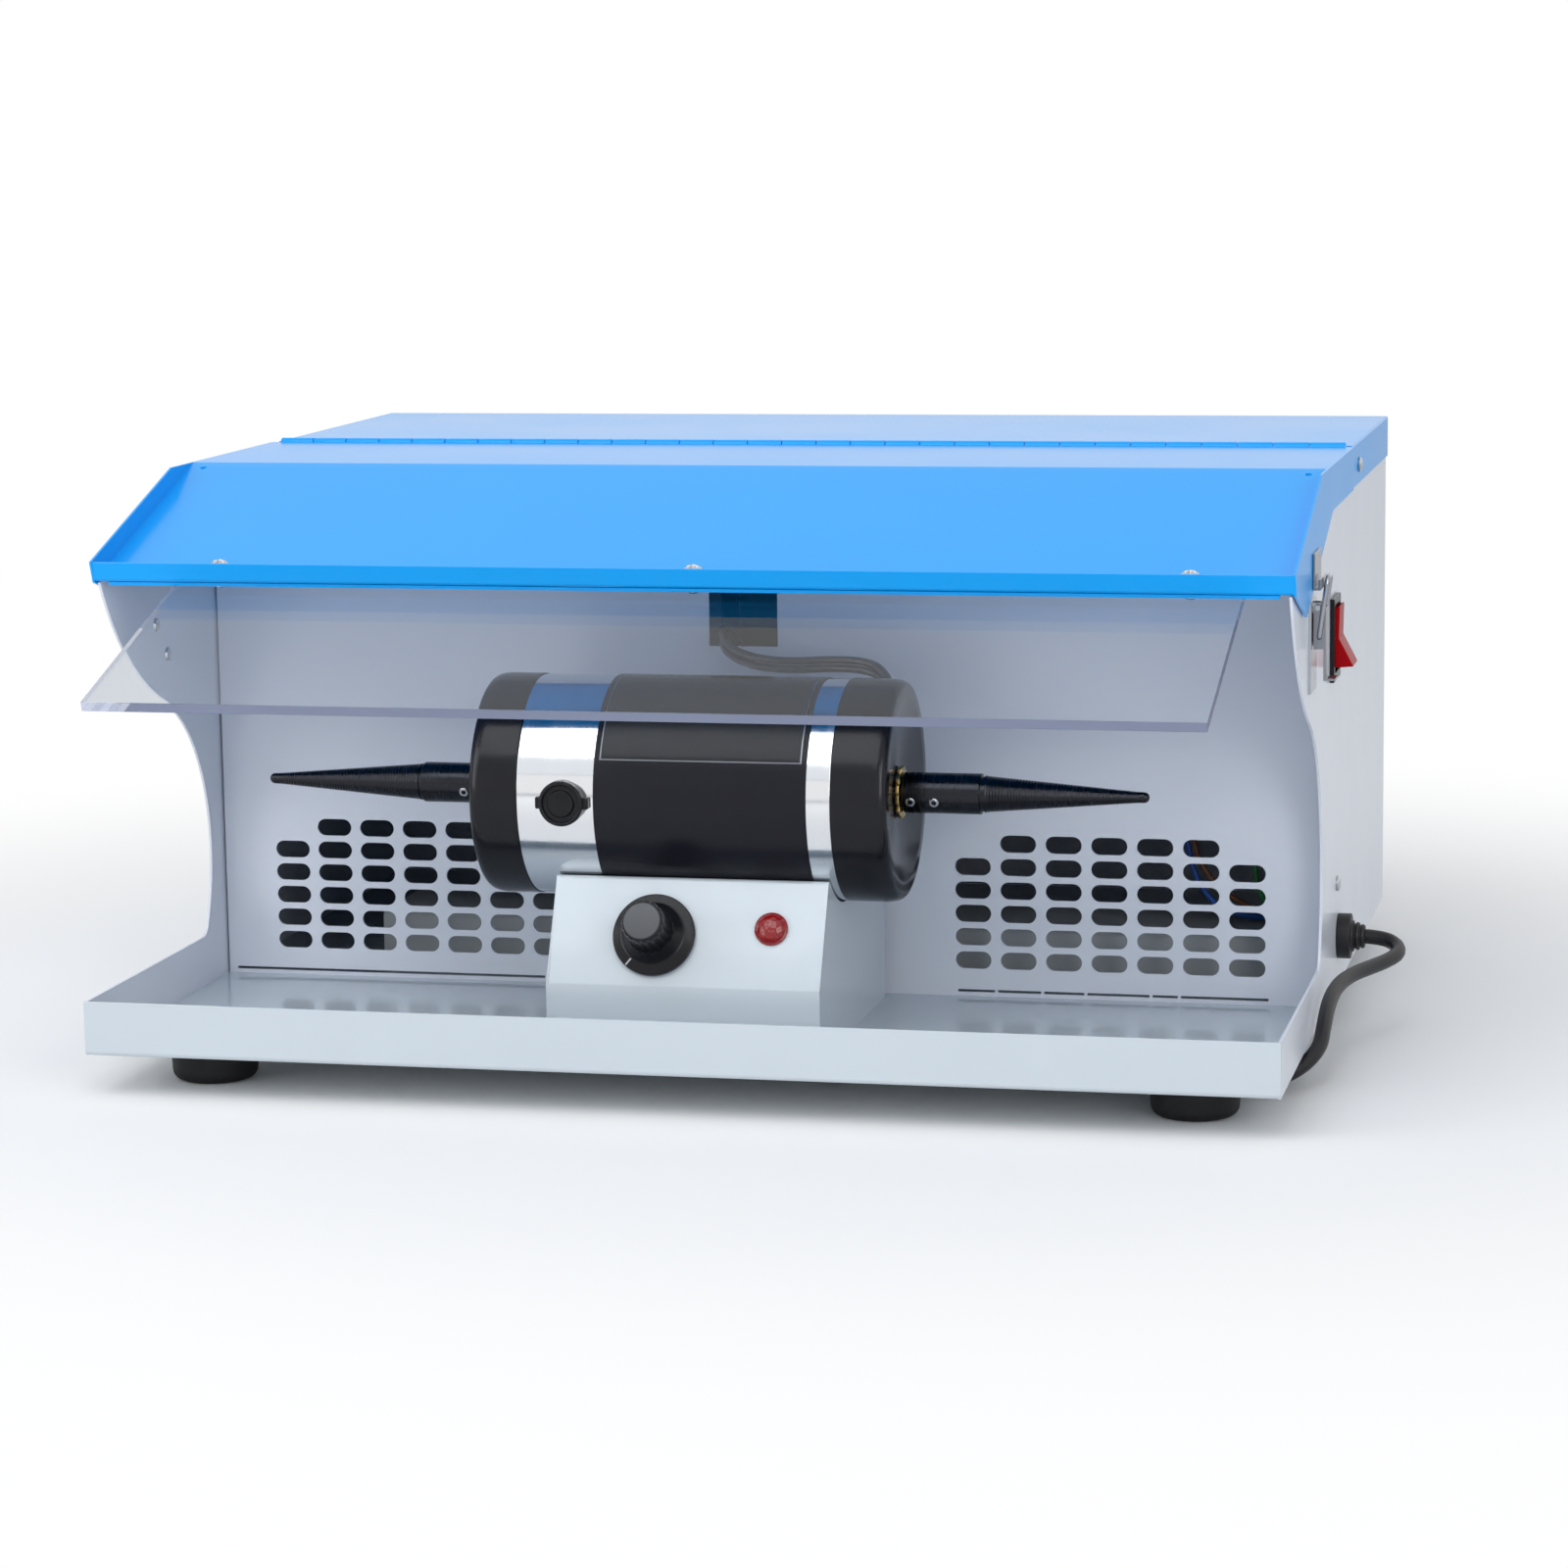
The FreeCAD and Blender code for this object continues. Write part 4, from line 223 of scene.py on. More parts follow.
# Drawn and turned metal
# Fine streaks along one way of the piece, which roughen the metal and raise its skin.
drawn, given, result = shared_effect(
    "drawn_metal",
    [("Stretch", "NodeSocketVector", (1, 1, 1)), ("Depth", "NodeSocketFloat", 0.1)],
    [("Streaks", "NodeSocketFloat"), ("Normal", "NodeSocketVector")])
spot = added(drawn, "TexCoord")
pull = added(drawn, "VectorMath", operation="MULTIPLY")
lines = added(drawn, "TexNoise", {"Scale": 1.0, "Detail": 3.0})
raise_lines = added(drawn, "Bump", {"Distance": 0.0002})
joined(drawn, (spot, "Object", pull, 0), (given, "Stretch", pull, 1),
       (pull, "Vector", lines, "Vector"), (lines, "Fac", raise_lines, "Height"),
       (given, "Depth", raise_lines, "Strength"), (lines, "Fac", result, "Streaks"),
       (raise_lines, "Normal", result, "Normal"))


def metal(name, colour, gloss, stretch=(900, 900, 900), depth=0.05):
    """Bare metal whose gloss follows the streaks."""
    return dressed(name, drawn, {"Stretch": stretch, "Depth": depth}, "Streaks", gloss,
                   {"Base Color": (*colour, 1), "Metallic": 1.0})[0]


# Mains cord
# A round black flex of about 1.65 m. It leaves the gland low on the right side, comes
# forward, runs back under the case and lies in a neat coil behind it, its plug beside it.
zero_spot = (250.0, 185.0549, -18.0)


def placed(points):
    """Points given in millimetres from the case's left side, front lip and underside."""
    return (np.asarray(points, float) - zero_spot) / 1000.0


case_width = 500.0
cord_radius = 0.00325
cord_route = placed([
    (512, 222, 23), (520, 222, 22.6), (526.5, 217, 20.6), (528, 208, 18.6), (524, 197, 17.4),
    (517.5, 184, 16.8), (511, 169, 16.4), (506.8, 152, 15.2), (505.3, 134, 12.2), (505, 117, 6.5),
    (504.8, 103, -1.8), (497, 91, -8.5), (484, 84, -13), (467, 84.5, -14.75), (451, 92, -14.75),
    (438, 104, -14.75), (429, 120, -14.75), (423, 141, -14.75), (420, 168, -14.75),
    (421, 202, -14.75), (425, 244, -14.75), (424, 289, -14.75), (418, 335, -14.75),
    (415, 384, -14.75), (420, 428, -14.75), (436, 468, -14.75), (436, 500, -14.75)])
per_turn = 16
inward_turns, climb_turns, outward_turns = 2.0, 0.5, 1.75
coil_x, coil_y, coil_level = 390.0, 506.5, -14.75
widest, turn_gap, climb_dip, coil_swell = 46.0, 7.0, 0.9, 1.0095
turned_so_far = np.arange(
    1, int(per_turn * (inward_turns + climb_turns + outward_turns)) + 1) / per_turn
climbed = np.clip((turned_so_far - inward_turns) / climb_turns, 0, 1)
grown = np.clip(turned_so_far - inward_turns - climb_turns, 0, None)
coil_radius = (widest - turn_gap * np.minimum(turned_so_far, inward_turns) + turn_gap * grown
               - climb_dip * np.sin(np.pi * climbed)) * coil_swell
coil_angle = 2 * np.pi * turned_so_far
coil_points = placed(np.stack([coil_x + coil_radius * np.cos(coil_angle),
                               coil_y + coil_radius * np.sin(coil_angle),
                               coil_level + turn_gap * climbed], axis=1))
tail_x, tail_y, tail_z = 362.0, 550.75, -7.75
cord_end = placed([(tail_x + 16, tail_y, tail_z), (tail_x, tail_y, tail_z)])
cord_points = np.vstack([cord_route, coil_points, cord_end])


def smooth_curve(name, points, radius):
    """An open NURBS line of order 3 through the neighbourhood of its points, as a round tube."""
    curve = bpy.data.curves.new(name, "CURVE")
    curve.dimensions = "3D"
    spline = curve.splines.new("NURBS")
    spline.points.add(len(points) - 1)
    flat = np.concatenate([points, np.ones((len(points), 1))], axis=1)
    spline.points.foreach_set("co", flat.ravel())
    spline.order_u = 3
    spline.use_endpoint_u = True
    spline.resolution_u = 8
    curve.bevel_depth = radius
    curve.bevel_resolution = 5
    curve.use_fill_caps = True
    return hung(name, curve)


cord_skin = coated("black_flex", (0.012, 0.012, 0.014), (0.38, 0.44), grain=1500.0, depth=0.15,
                   shine=0.3)
mains_cord = smooth_curve("mains_cord", cord_points, cord_radius)
mains_cord.data.materials.append(cord_skin)
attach(mains_cord, "case")
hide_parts("power_cord", "power_cord_coil")


def grid_faces(rows, columns, wrap_rows=False, wrap_columns=False):
    """The quads of a grid of points, row by row, closed on itself where asked."""
    i = np.arange(rows if wrap_rows else rows - 1)
    j = np.arange(columns if wrap_columns else columns - 1)
    i, j = np.meshgrid(i, j, indexing="ij")
    k, m = (i + 1) % rows, (j + 1) % columns
    quads = np.stack([i * columns + j, i * columns + m, k * columns + m, k * columns + j], axis=-1)
    return quads.reshape(-1, 4)


def seated(name, mesh, finish, sharp, body, nodes):
    """A mesh as a piece of the machine: smooth but at edges sharper than an angle, in its
    finish, on its body and in place of its solids."""
    mesh.polygons.foreach_set("use_smooth", np.ones(len(mesh.polygons), bool))
    mesh.set_sharp_from_angle(angle=math.radians(sharp))
    mesh.materials.append(finish)
    holder = hung(name, mesh)
    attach(holder, body)
    if nodes:
        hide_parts(*nodes)
    return holder


def made(name, forms, finish, body, nodes=(), sharp=40.0):
    """One piece from (points, quads) forms: doubles merged, faces turned outwards."""
    shift = np.cumsum([0] + [len(points) for points, quads in forms[:-1]])
    points = np.vstack([points for points, quads in forms])
    quads = np.vstack([quads + start for start, (_, quads) in zip(shift, forms)])
    mesh = bpy.data.meshes.new(name)
    mesh.from_pydata(points.tolist(), [], quads.tolist())
    work = bmesh.new()
    work.from_mesh(mesh)
    bmesh.ops.remove_doubles(work, verts=work.verts, dist=1e-7)
    bmesh.ops.recalc_face_normals(work, faces=work.faces)
    work.to_mesh(mesh)
    work.free()
    return seated(name, mesh, finish, sharp, body, nodes)


def eased(profile, radius, steps=4, closed=True):
    """Each corner of an outline becomes a short curve: start, corner and end are blended by
    (1-t)^2, 2t(1-t) and t^2. The start and end lie at most the radius from the corner."""
    spots = np.asarray(profile, float)
    size = np.array(np.broadcast_to(radius, (len(spots),)), float)[:, None]
    if not closed:
        size[0] = size[-1] = 0
    ends = []
    for way in (np.roll(spots, 1, axis=0) - spots, np.roll(spots, -1, axis=0) - spots):
        reach = np.linalg.norm(way, axis=1, keepdims=True) + 1e-12
        ends.append(spots + way * np.minimum(size / reach, 0.45))
    start, end = ends
    t = np.linspace(0, 1, steps + 1)[None, :, None]
    curve = start[:, None] * (1 - t) ** 2 + spots[:, None] * 2 * t * (1 - t) + end[:, None] * t ** 2
    return curve.reshape(-1, spots.shape[1])


def ways_round(way):
    """An axis of length one, and two more square to it and to each other."""
    axis = np.asarray(way, float) / np.linalg.norm(way)
    other = np.array([0, 0, 1.0]) if abs(axis[2]) < 0.9 else np.array([1.0, 0, 0])
    side = np.cross(other, axis)
    side /= np.linalg.norm(side)
    return axis, side, np.cross(axis, side)


along_x = (1, 0, 0)


def turned(profile, origin, way, sides=64, closed=True, swell=None):
    """A profile of (along, radius) points carried round an axis: each point is the origin plus
    along times the axis plus radius times the turning direction. Swell scales the radius
    by a table of angle values."""
    axis, side, upper = ways_round(way)
    angle = np.arange(sides) * 2 * np.pi / sides
    ring = np.cos(angle)[:, None] * side + np.sin(angle)[:, None] * upper
    outline = np.asarray(profile, float)
    radius = outline[:, 1, None] * (np.ones(sides) if swell is None else swell)
    points = (np.asarray(origin, float) + outline[:, 0, None, None] * axis
              + radius[..., None] * ring[None])
    return placed(points.reshape(-1, 3)), grid_faces(len(outline), sides, closed, True)


# Cord gland
# A moulded black bush through the right side, with a collar, two flexing grooves on its
# short taper, and a nut inside.
gland_y, gland_z = 222, 23
gland_outline = [(-11.2, 0), (-11.2, 6.0), (0, 6.0), (0, 10.0), (6, 10.0), (6, 7.2), (7.3, 6.8),
                 (7.3, 5.7), (8.2, 5.5), (8.2, 6.4), (9.7, 5.9), (9.7, 5.0), (10.5, 4.9),
                 (10.5, 5.5), (12, 5.0), (12, 0)]
nut_outline = [(494.8, 6.05), (498.8, 6.05), (498.8, 9.5), (494.8, 9.5)]
gland_body = turned(eased(gland_outline, 0.5, 3, False), (case_width, gland_y, gland_z), along_x,
                    48)
gland_nut = turned(eased(nut_outline, 0.4, 3), (0, gland_y, gland_z), along_x, 6)
gland_skin = coated("black_nylon", (0.014, 0.014, 0.016), (0.42, 0.48), grain=1200.0, depth=0.2,
                    shine=0.3)
cord_bush = made("cord_bush", [gland_body, gland_nut], gland_skin, "case", ["cord_gland"],
                 50)


def rounded_box(low, high, radius, steps=3):
    """The points of a small ball, its eighths moved out to the corners of a box, so that the
    quads between the eighths are the box's flat sides."""
    low, high = np.asarray(low, float), np.asarray(high, float)
    half = (high - low) / 2 - radius
    quarter = np.linspace(0, np.pi / 2, steps + 1)
    round_angle = np.concatenate([quarter + k * np.pi / 2 for k in range(4)])
    round_x = np.repeat([1, -1, -1, 1], steps + 1)
    round_y = np.repeat([1, 1, -1, -1], steps + 1)
    tilt = np.concatenate([-np.pi / 2 + quarter, quarter])
    side = np.repeat([-1, 1], steps + 1)
    ring = np.stack([np.cos(round_angle), np.sin(round_angle)], axis=1)
    shape = (len(tilt), len(round_angle))
    x = radius * np.cos(tilt)[:, None] * ring[:, 0] + half[0] * round_x
    y = radius * np.cos(tilt)[:, None] * ring[:, 1] + half[1] * round_y
    z = np.broadcast_to((radius * np.sin(tilt) + half[2] * side)[:, None], shape)
    points = np.stack([x, y, z], axis=-1)
    bottom = np.tile([0.0, 0.0, -half[2] - radius], (1, shape[1], 1))
    points = np.concatenate([bottom, points, bottom * (1, 1, -1)])
    middle = (low + high) / 2
    return placed(points.reshape(-1, 3) + middle), grid_faces(shape[0] + 2, shape[1], False, True)


# Mains plug
# A moulded black body with a ribbed neck, two flat blades and a round earth pin.
neck = [(0, 0), (0, 3.75), (4, 4.3), (4, 3.9), (5.4, 4.1), (5.4, 4.8), (8.6, 5.2), (8.6, 4.6),
        (10, 4.8), (10, 5.6), (14.5, 6.0), (14.5, 0)]
plug_neck = turned(eased(neck, 0.4, 3, False), (tail_x, tail_y, tail_z), (-1, 0, 0), 40)
plug_body = rounded_box((tail_x - 48, tail_y - 12, -18), (tail_x - 14, tail_y + 12, 2.5), 3.6, 5)
plug = made("plug_body", [plug_neck, plug_body], cord_skin, "case", ["power_plug"],
            50)
blade_root, blade_gap, blade_half = tail_x - 47.6, 6.35, 0.75
blades = [rounded_box((tail_x - 64, tail_y + s * blade_gap - blade_half, tail_z - 0.15),
                      (blade_root, tail_y + s * blade_gap + blade_half, tail_z + 6.15), 0.35)
          for s in (-1, 1)]
earth = turned(eased([(0, 0), (0, 2.4), (20.4, 2.4), (20.4, 0)], 0.9, 4, False),
               (blade_root, tail_y, tail_z - 6), (-1, 0, 0), 32)
blade_metal = metal("nickelled_blades", (0.74, 0.72, 0.66), (0.16, 0.3), (60, 900, 900))
plug_pins = made("plug_pins", blades + [earth], blade_metal, "case", ["power_plug"])


def softened(name, node, radius, finish, body, steps=2, limit=28.0):
    """A copy of a solid whose flats are whole faces again, with its hard edges rounded."""
    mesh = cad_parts[node].data.copy()
    mesh.name = name
    work = bmesh.new()
    work.from_mesh(mesh)
    bmesh.ops.remove_doubles(work, verts=work.verts, dist=1e-6)
    bmesh.ops.dissolve_limit(work, angle_limit=math.radians(0.4), verts=work.verts,
                             edges=work.edges)
    work.to_mesh(mesh)
    work.free()
    mesh.materials.clear()
    holder = seated(name, mesh, finish, limit, body, [node])
    ease = holder.modifiers.new("rounded edges", "BEVEL")
    ease.width = radius / 1000
    ease.segments = steps
    ease.limit_method = "ANGLE"
    ease.angle_limit = math.radians(limit)
    ease.harden_normals = True
    return holder


# Sheet-metal case
# Folded steel sheet, 1.2 mm thick: a tray with a front lip, two side panels scooped at
# the front, and the rear panel. All are powder-coated light grey and fairly glossy.
case_paint = coated("light_grey_paint", (0.70, 0.735, 0.81), (0.24, 0.27), grain=520.0,
                    depth=0.02, drift=0.03, coat=0.2)
tray_paint = coated("tray_paint", (0.52, 0.58, 0.63), (0.17, 0.19), grain=520.0, depth=0.015,
                    drift=0.03, coat=0.3)
for node in ("side_panel_left", "side_panel_right", "rear_panel"):
    softened("case_" + node, node, 0.35, case_paint, "case")
softened("case_base_tray", "base_tray", 0.35, tray_paint, "case")

# Perforated wall
# The wall behind the wheels: the dust is drawn through two fields of round-ended slots.
softened("slotted_wall", "back_wall", 0.2, case_paint, "case", 1)

# Ledge behind the wall
# A folded strip on the tray that carries the terminal block, in plain grey primer.
primer = coated("grey_primer", (0.42, 0.45, 0.47), (0.45, 0.6), grain=900.0, depth=0.12)
softened("inner_shelf", "inner_ledge", 0.3, primer, "case")

# Rubber feet
# Four turned black feet, each with a rounded sole and a recess for its screw.
foot_spots = [(x, y) for x in (40, 460) for y in (47, 393)]
foot_outline = [(0, 2.3), (0, 19.0), (13.5, 18.2), (15.2, 17.9), (16.7, 16.9), (17.7, 15.4),
                (18, 13.7), (18, 7), (10, 7), (10, 2.3)]
rubber = coated("black_rubber", (0.013, 0.013, 0.015), (0.55, 0.64), grain=1100.0, depth=0.3,
                drift=0.15, shine=0.25)
foot_forms = [turned(eased(foot_outline, 0.7, 3), (x, y, 0), (0, 0, -1), 72) for x, y in foot_spots]
made("feet", foot_forms, rubber, "case", ["rubber_feet"], 50)


def pan_head(origin, way, head, height, shank, length):
    """A domed screw head on a polar grid. A cross is pressed into it: the depth fades with
    the distance from two straight lines through the centre and with the radius."""
    ring = np.concatenate([np.linspace(0, 0.62, 12), np.linspace(0.68, 1, 6)])
    rise = np.sqrt(np.clip(1 - (ring * 0.86) ** 2, 0, 1))
    rise = (rise - rise[-1]) / (rise[0] - rise[-1]) * height * 0.55 + height * 0.45
    along = np.concatenate([rise, [height * 0.1, 0, 0, -length + 0.4, -length, -length]])
    radius = np.concatenate([ring * head, [head, head * 0.97, shank, shank, shank * 0.7, 0]])
    points, quads = turned(np.stack([along, radius], axis=1), zero_spot, (0, 0, 1), 64, False)
    x, y, z = points.T * 1000
    line = np.minimum(np.abs(x), np.abs(y))
    reach = np.hypot(x, y)
    press = (np.clip(1.3 - line / (0.16 * head), 0, 1)
             * np.clip((0.62 * head - reach) / (0.2 * head), 0, 1))
    z = np.where(z > height * 0.2, z - press * height * 0.55, z)
    axis, side, across = ways_round(way)
    moved = x[:, None] * side + y[:, None] * across + z[:, None] * axis + np.asarray(origin, float)
    return placed(moved), quads


# Case screws
# Zinc-plated cross-head screws in the cover's flanges, the feet and the earth point, and
# the rivets of the latches.
zinc = metal("bright_zinc", (0.52, 0.54, 0.56), (0.22, 0.34), (700, 700, 700), 0.06)
sides_of_case = ((-1, 0.0), (1, case_width))
cover_screw_z, cover_flange = 224.5, 0.8
case_screw_forms = [pan_head((face + s * cover_flange, 295.3, cover_screw_z), (s, 0, 0),
                             3.4, 2.0, 2.0, 2.1) for s, face in sides_of_case]
case_screw_forms.append(pan_head((case_width, 215.0, 47.7), along_x, 3.4, 2.0, 2.0, 9.2))
case_screw_forms += [pan_head((x, 440 + cover_flange, cover_screw_z), (0, 1, 0), 3.4, 2.0, 2.0, 2.1)
                     for x in (40, 460)]
case_screw_forms += [pan_head((x, y, -10), (0, 0, -1), 4.5, 3.0, 2.2, 11.2) for x, y in foot_spots]
rivet = [(1.2, 0), (1.2, 1.5), (-1.2, 1.5), (-1.2, 3.0), (-2.1, 2.6), (-2.4, 1.2), (-2.4, 0)]
case_screw_forms += [turned(rivet, (face, y, z), (s, 0, 0), 32, False)
                     for s, face in sides_of_case for y, z in ((97.2, 167.9), (110.0, 153.5))]
made("case_fasteners", case_screw_forms, zinc, "case", ["case_screws"], 35)

# Control box
# A folded box under the motor that carries the speed knob and the lamp on its slope.
softened("control_housing", "control_box", 0.5, tray_paint, "case", 3)


fold_low, fold_high = (30.5, 31.0), (51.0, 72.6)
slope_out = (0, -0.8970, 0.4420)


def on_box(x, up_slope):
    """A spot on the control box's slope: the lower fold plus a distance up the slope."""
    slope = math.atan2(fold_high[1] - fold_low[1], fold_high[0] - fold_low[0])
    return (x, fold_low[0] + up_slope * math.cos(slope), fold_low[1] + up_slope * math.sin(slope))


# Indicator lamp
# A moulded red lens with a low rim. It is faceted inside, and the lamp behind it is off.
lamp_outline = [(-16, 0), (-16, 6), (0, 6), (0, 7), (1.2, 7), (1.5, 6.2), (2.4, 5.6), (3.3, 4.4),
                (3.9, 2.8), (4.2, 0)]
lens, tree, shader = blank_material("red_lens", {
    "Base Color": (0.24, 0.003, 0.005, 1), "Roughness": 0.16, "Coat Weight": 0.1,
    "Subsurface Weight": 0.25, "Subsurface Radius": (0.004, 0.0006, 0.0004)})
facet = added(tree, "TexVoronoi", {"Scale": 620.0})
facet_bump = added(tree, "Bump", {"Strength": 0.35, "Distance": 0.0006})
joined(tree, (added(tree, "TexCoord"), "Object", facet, "Vector"),
       (facet, "Distance", facet_bump, "Height"), (facet_bump, "Normal", shader, "Normal"))
lamp_form = turned(eased(lamp_outline, 0.25, 2, False), on_box(285.7, 25.7), slope_out, 48, False)
made("lamp_lens", [lamp_form], lens, "case", ["indicator_lamp"], 35)

# Speed knob
# A black moulded knob with a wide skirt, a fluted grip and a grey cap disc. A thin pale
# line on the skirt points to the speed.
knob_spot = on_box(236.6, 21.4)
knob_black = coated("knob_plastic", (0.008, 0.008, 0.010), (0.17, 0.20), grain=900.0, depth=0.04,
                    shine=0.22)
cap_grey = coated("knob_cap_grey", (0.055, 0.058, 0.065), (0.32, 0.38), grain=1400.0, depth=0.08)
line_white = coated("pointer_white", (0.45, 0.45, 0.46), (0.4, 0.5), grain=1400.0, depth=0.1)
knob_outline = [(0.6, 9.0), (0.6, 17.5), (3.2, 17.3), (3.7, 13.0), (6.6, 10.6), (8.0, 9.6),
                (21.6, 9.1), (23.4, 8.7), (23.6, 8.0), (23.6, 0), (14.3, 0), (14.3, 3.05),
                (5.0, 3.05), (5.0, 9.0)]
knob_curve = eased(knob_outline, [.5, .8, .5, 1, 1, .6, .6, .4, .2, 0, 0, .1, .2, .2], 4)
knob_sides, flutes, flute_depth = 144, 18, 0.0006
flute = np.cos(np.arange(knob_sides) * 2 * np.pi / knob_sides * flutes)
grip_share = np.clip((knob_curve[:, 0] - 7.2) / 1.2, 0, 1) * (knob_curve[:, 1] > 8.2)
knob_points, knob_quads = turned(knob_curve, knob_spot, slope_out, knob_sides)
knob_centre = placed([knob_spot])
axis, side_way, up_way = ways_round(slope_out)
rel = knob_points - knob_centre
along = rel @ axis
radial = rel - along[:, None] * axis
dent = np.outer(grip_share, np.clip(-flute - 0.2, 0, 1)).ravel() * flute_depth
radial *= (1 - dent / np.maximum(np.linalg.norm(radial, axis=1), 1e-6))[:, None]
knob_points = knob_centre + along[:, None] * axis + radial
made("knob_grip", [(knob_points, knob_quads)], knob_black, "knob", ["speed_knob"],
     50)
disc = turned(eased([(23.45, 0), (23.45, 7.7), (23.95, 7.5), (23.95, 0)], 0.2, 3, False),
              knob_spot, slope_out, 48, False)
made("knob_cap", [disc], cap_grey, "knob")
aim = math.radians(232)
mark_way = math.cos(aim) * side_way + math.sin(aim) * up_way
cross_way = np.cross(axis, mark_way)
u, v = np.meshgrid([13.6, 17.0], [-0.3, 0.3], indexing="ij")
skirt_top = np.interp(u, [13.0, 17.3], [3.7, 3.2])[..., None] - 0.1
mark_low = (np.asarray(knob_spot) + u[..., None] * mark_way + v[..., None] * cross_way
            + skirt_top * axis)
mark_high = mark_low + 0.2 * axis
mark_points = np.stack([mark_low[0, 0], mark_low[1, 0], mark_low[1, 1], mark_low[0, 1],
                        mark_high[0, 0], mark_high[1, 0], mark_high[1, 1], mark_high[0, 1]])
mark_quads = np.array([(0, 3, 2, 1), (4, 5, 6, 7), (0, 1, 5, 4), (1, 2, 6, 5), (2, 3, 7, 6),
                       (3, 0, 4, 7)])
made("knob_pointer", [(placed(mark_points), mark_quads)], line_white, "knob")


def finished(*pairs):
    """Solids of the frame that keep their shape, each with its material."""
    for node, finish in pairs:
        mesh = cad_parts[node].data
        mesh.materials.clear()
        mesh.materials.append(finish)


# Speed control parts inside the box
# The potentiometer with its shaft, and a green board with a heat sink and a relay.
can_metal = metal("stamped_can", (0.55, 0.56, 0.58), (0.28, 0.42), (900, 900, 900), 0.08)
board_green = coated("board_green", (0.02, 0.16, 0.07), (0.3, 0.5), grain=1600.0, depth=0.2,
                     drift=0.3, coat=0.2)
finished(("potentiometer", can_metal), ("potentiometer_shaft", can_metal),
         ("speed_board", board_green))

# Motor cradle and its bolts
# Two webs on a base plate hold the motor from below, inside the control box.
softened("cradle_plate", "motor_cradle", 0.3, primer, "case")
bolt_forms = [pan_head((x, y, 4.2), (0, 0, 1), 4.5, 3.0, 2.5, 2.9)
              for x in (233, 270) for y in (70, 102)]
made("cradle_fasteners", bolt_forms, zinc, "case", ["cradle_bolts"], 35)

# Motor tube
# A bright steel tube, turned and polished. It shows as a ring between cap and sleeve.
motor_middle, motor_y, motor_z = 245.5, 86.0, 105.2
motor_axis = (0, motor_y, motor_z)
bright = metal("polished_tube", (0.78, 0.79, 0.81), (0.07, 0.17), (1800, 5, 5), 0.035)
tube_outline = eased([(178, 42.4), (178, 45.4), (311, 45.4), (311, 42.4)], 0.4, 3)
made("motor_barrel", [turned(tube_outline, motor_axis, along_x, 128)], bright, "case",
     ["motor_tube"])

# Motor sleeve
# A thin black-enamelled band round the tube, with a bare dark plate on its front.
enamel = coated("satin_black_enamel", (0.008, 0.008, 0.013), (0.24, 0.27), grain=900.0,
                depth=0.03, shine=0.2)
sleeve_outline = eased([(211, 45.4), (211, 45.9), (301, 45.9), (301, 45.4)], 0.15, 2)
made("motor_band", [turned(sleeve_outline, motor_axis, along_x, 128)], enamel, "case",
     ["motor_sleeve"])


def curved_plate(x0, x1, angle0, angle1, radius0, radius1, border):
    """A patch of a cylinder shell: across it x and the angle run evenly, and its rim is
    rounded by drawing the outer surface in along a quarter circle."""
    rim = np.concatenate([[0, 0], np.linspace(0, border, 4)])
    u, v = (np.sort(np.concatenate([rim, np.linspace(0, 1, count)[1:-1], 1 - rim]))
            for count in (3, 25))
    lift_u, lift_v = (np.sqrt(1 - np.clip(1 - np.minimum(w, 1 - w) / border, 0, 1) ** 2)
                      for w in (u, v))
    lift = np.minimum.outer(lift_u, lift_v)
    x = (x0 + (x1 - x0) * u)[:, None] + 0 * v
    a = np.radians(angle0 + (angle1 - angle0) * v)[None, :] + 0 * x
    shells = []
    for radius in (np.full_like(lift, radius0), radius0 + (radius1 - radius0) * lift):
        shell = np.stack([x, motor_y - radius * np.cos(a), motor_z + radius * np.sin(a)], axis=-1)
        shells.append(shell.reshape(-1, 3))
    quads = grid_faces(len(u), len(v))
    return placed(np.vstack(shells)), np.vstack([quads[:, ::-1], quads + len(u) * len(v)])


slate = coated("slate_plate", (0.013, 0.014, 0.018), (0.27, 0.31), grain=700.0, depth=0.04,
               shine=0.25)
made("blank_plate", [curved_plate(213.5, 298.5, 23, 83, 45.7, 46.15, 0.01)], slate, "case")
plate_rim = [curved_plate(213.1, 298.9, 22.5, 83.5, 45.7, 46.05, 0.006)]
rim_grey = metal("worn_plate_rim", (0.22, 0.23, 0.25), (0.28, 0.36), (900, 900, 900), 0.05)
made("plate_edge", plate_rim, rim_grey, "case")

# Motor end caps
# Cast caps in black enamel, rounded at the edge, with a shallow dish and a hub that
# holds the bearing.
cap_face = 88.5
cap_outline = [(21, 45.8), (0.0, 45.8), (0, 38), (3.5, 13), (3.5, 4.8), (8, 4.8), (8, 11),
               (15, 11), (15, 15), (8, 15), (8, 39.8), (27, 39.8), (27, 42.3), (21, 42.3)]
cap_ease = [.4, 7, .9, .6, .4, .2, .2, .2, .4, .6, .6, .3, .3, .2]
cap_enamel = coated("cast_cap_enamel", (0.007, 0.007, 0.010), (0.17, 0.20), grain=260.0,
                    depth=0.05, shine=0.25)
right_outline = [(a + 2 if a >= 21 else a, r) for a, r in cap_outline]
for side_name, s, outline in (("left", -1, cap_outline), ("right", 1, right_outline)):
    cap_form = turned(eased(outline, cap_ease, 8), (motor_middle + s * cap_face, motor_y, motor_z),
                      (-s, 0, 0), 128)
    made("cap_" + side_name, [cap_form], cap_enamel, "case", ["end_cap_" + side_name])

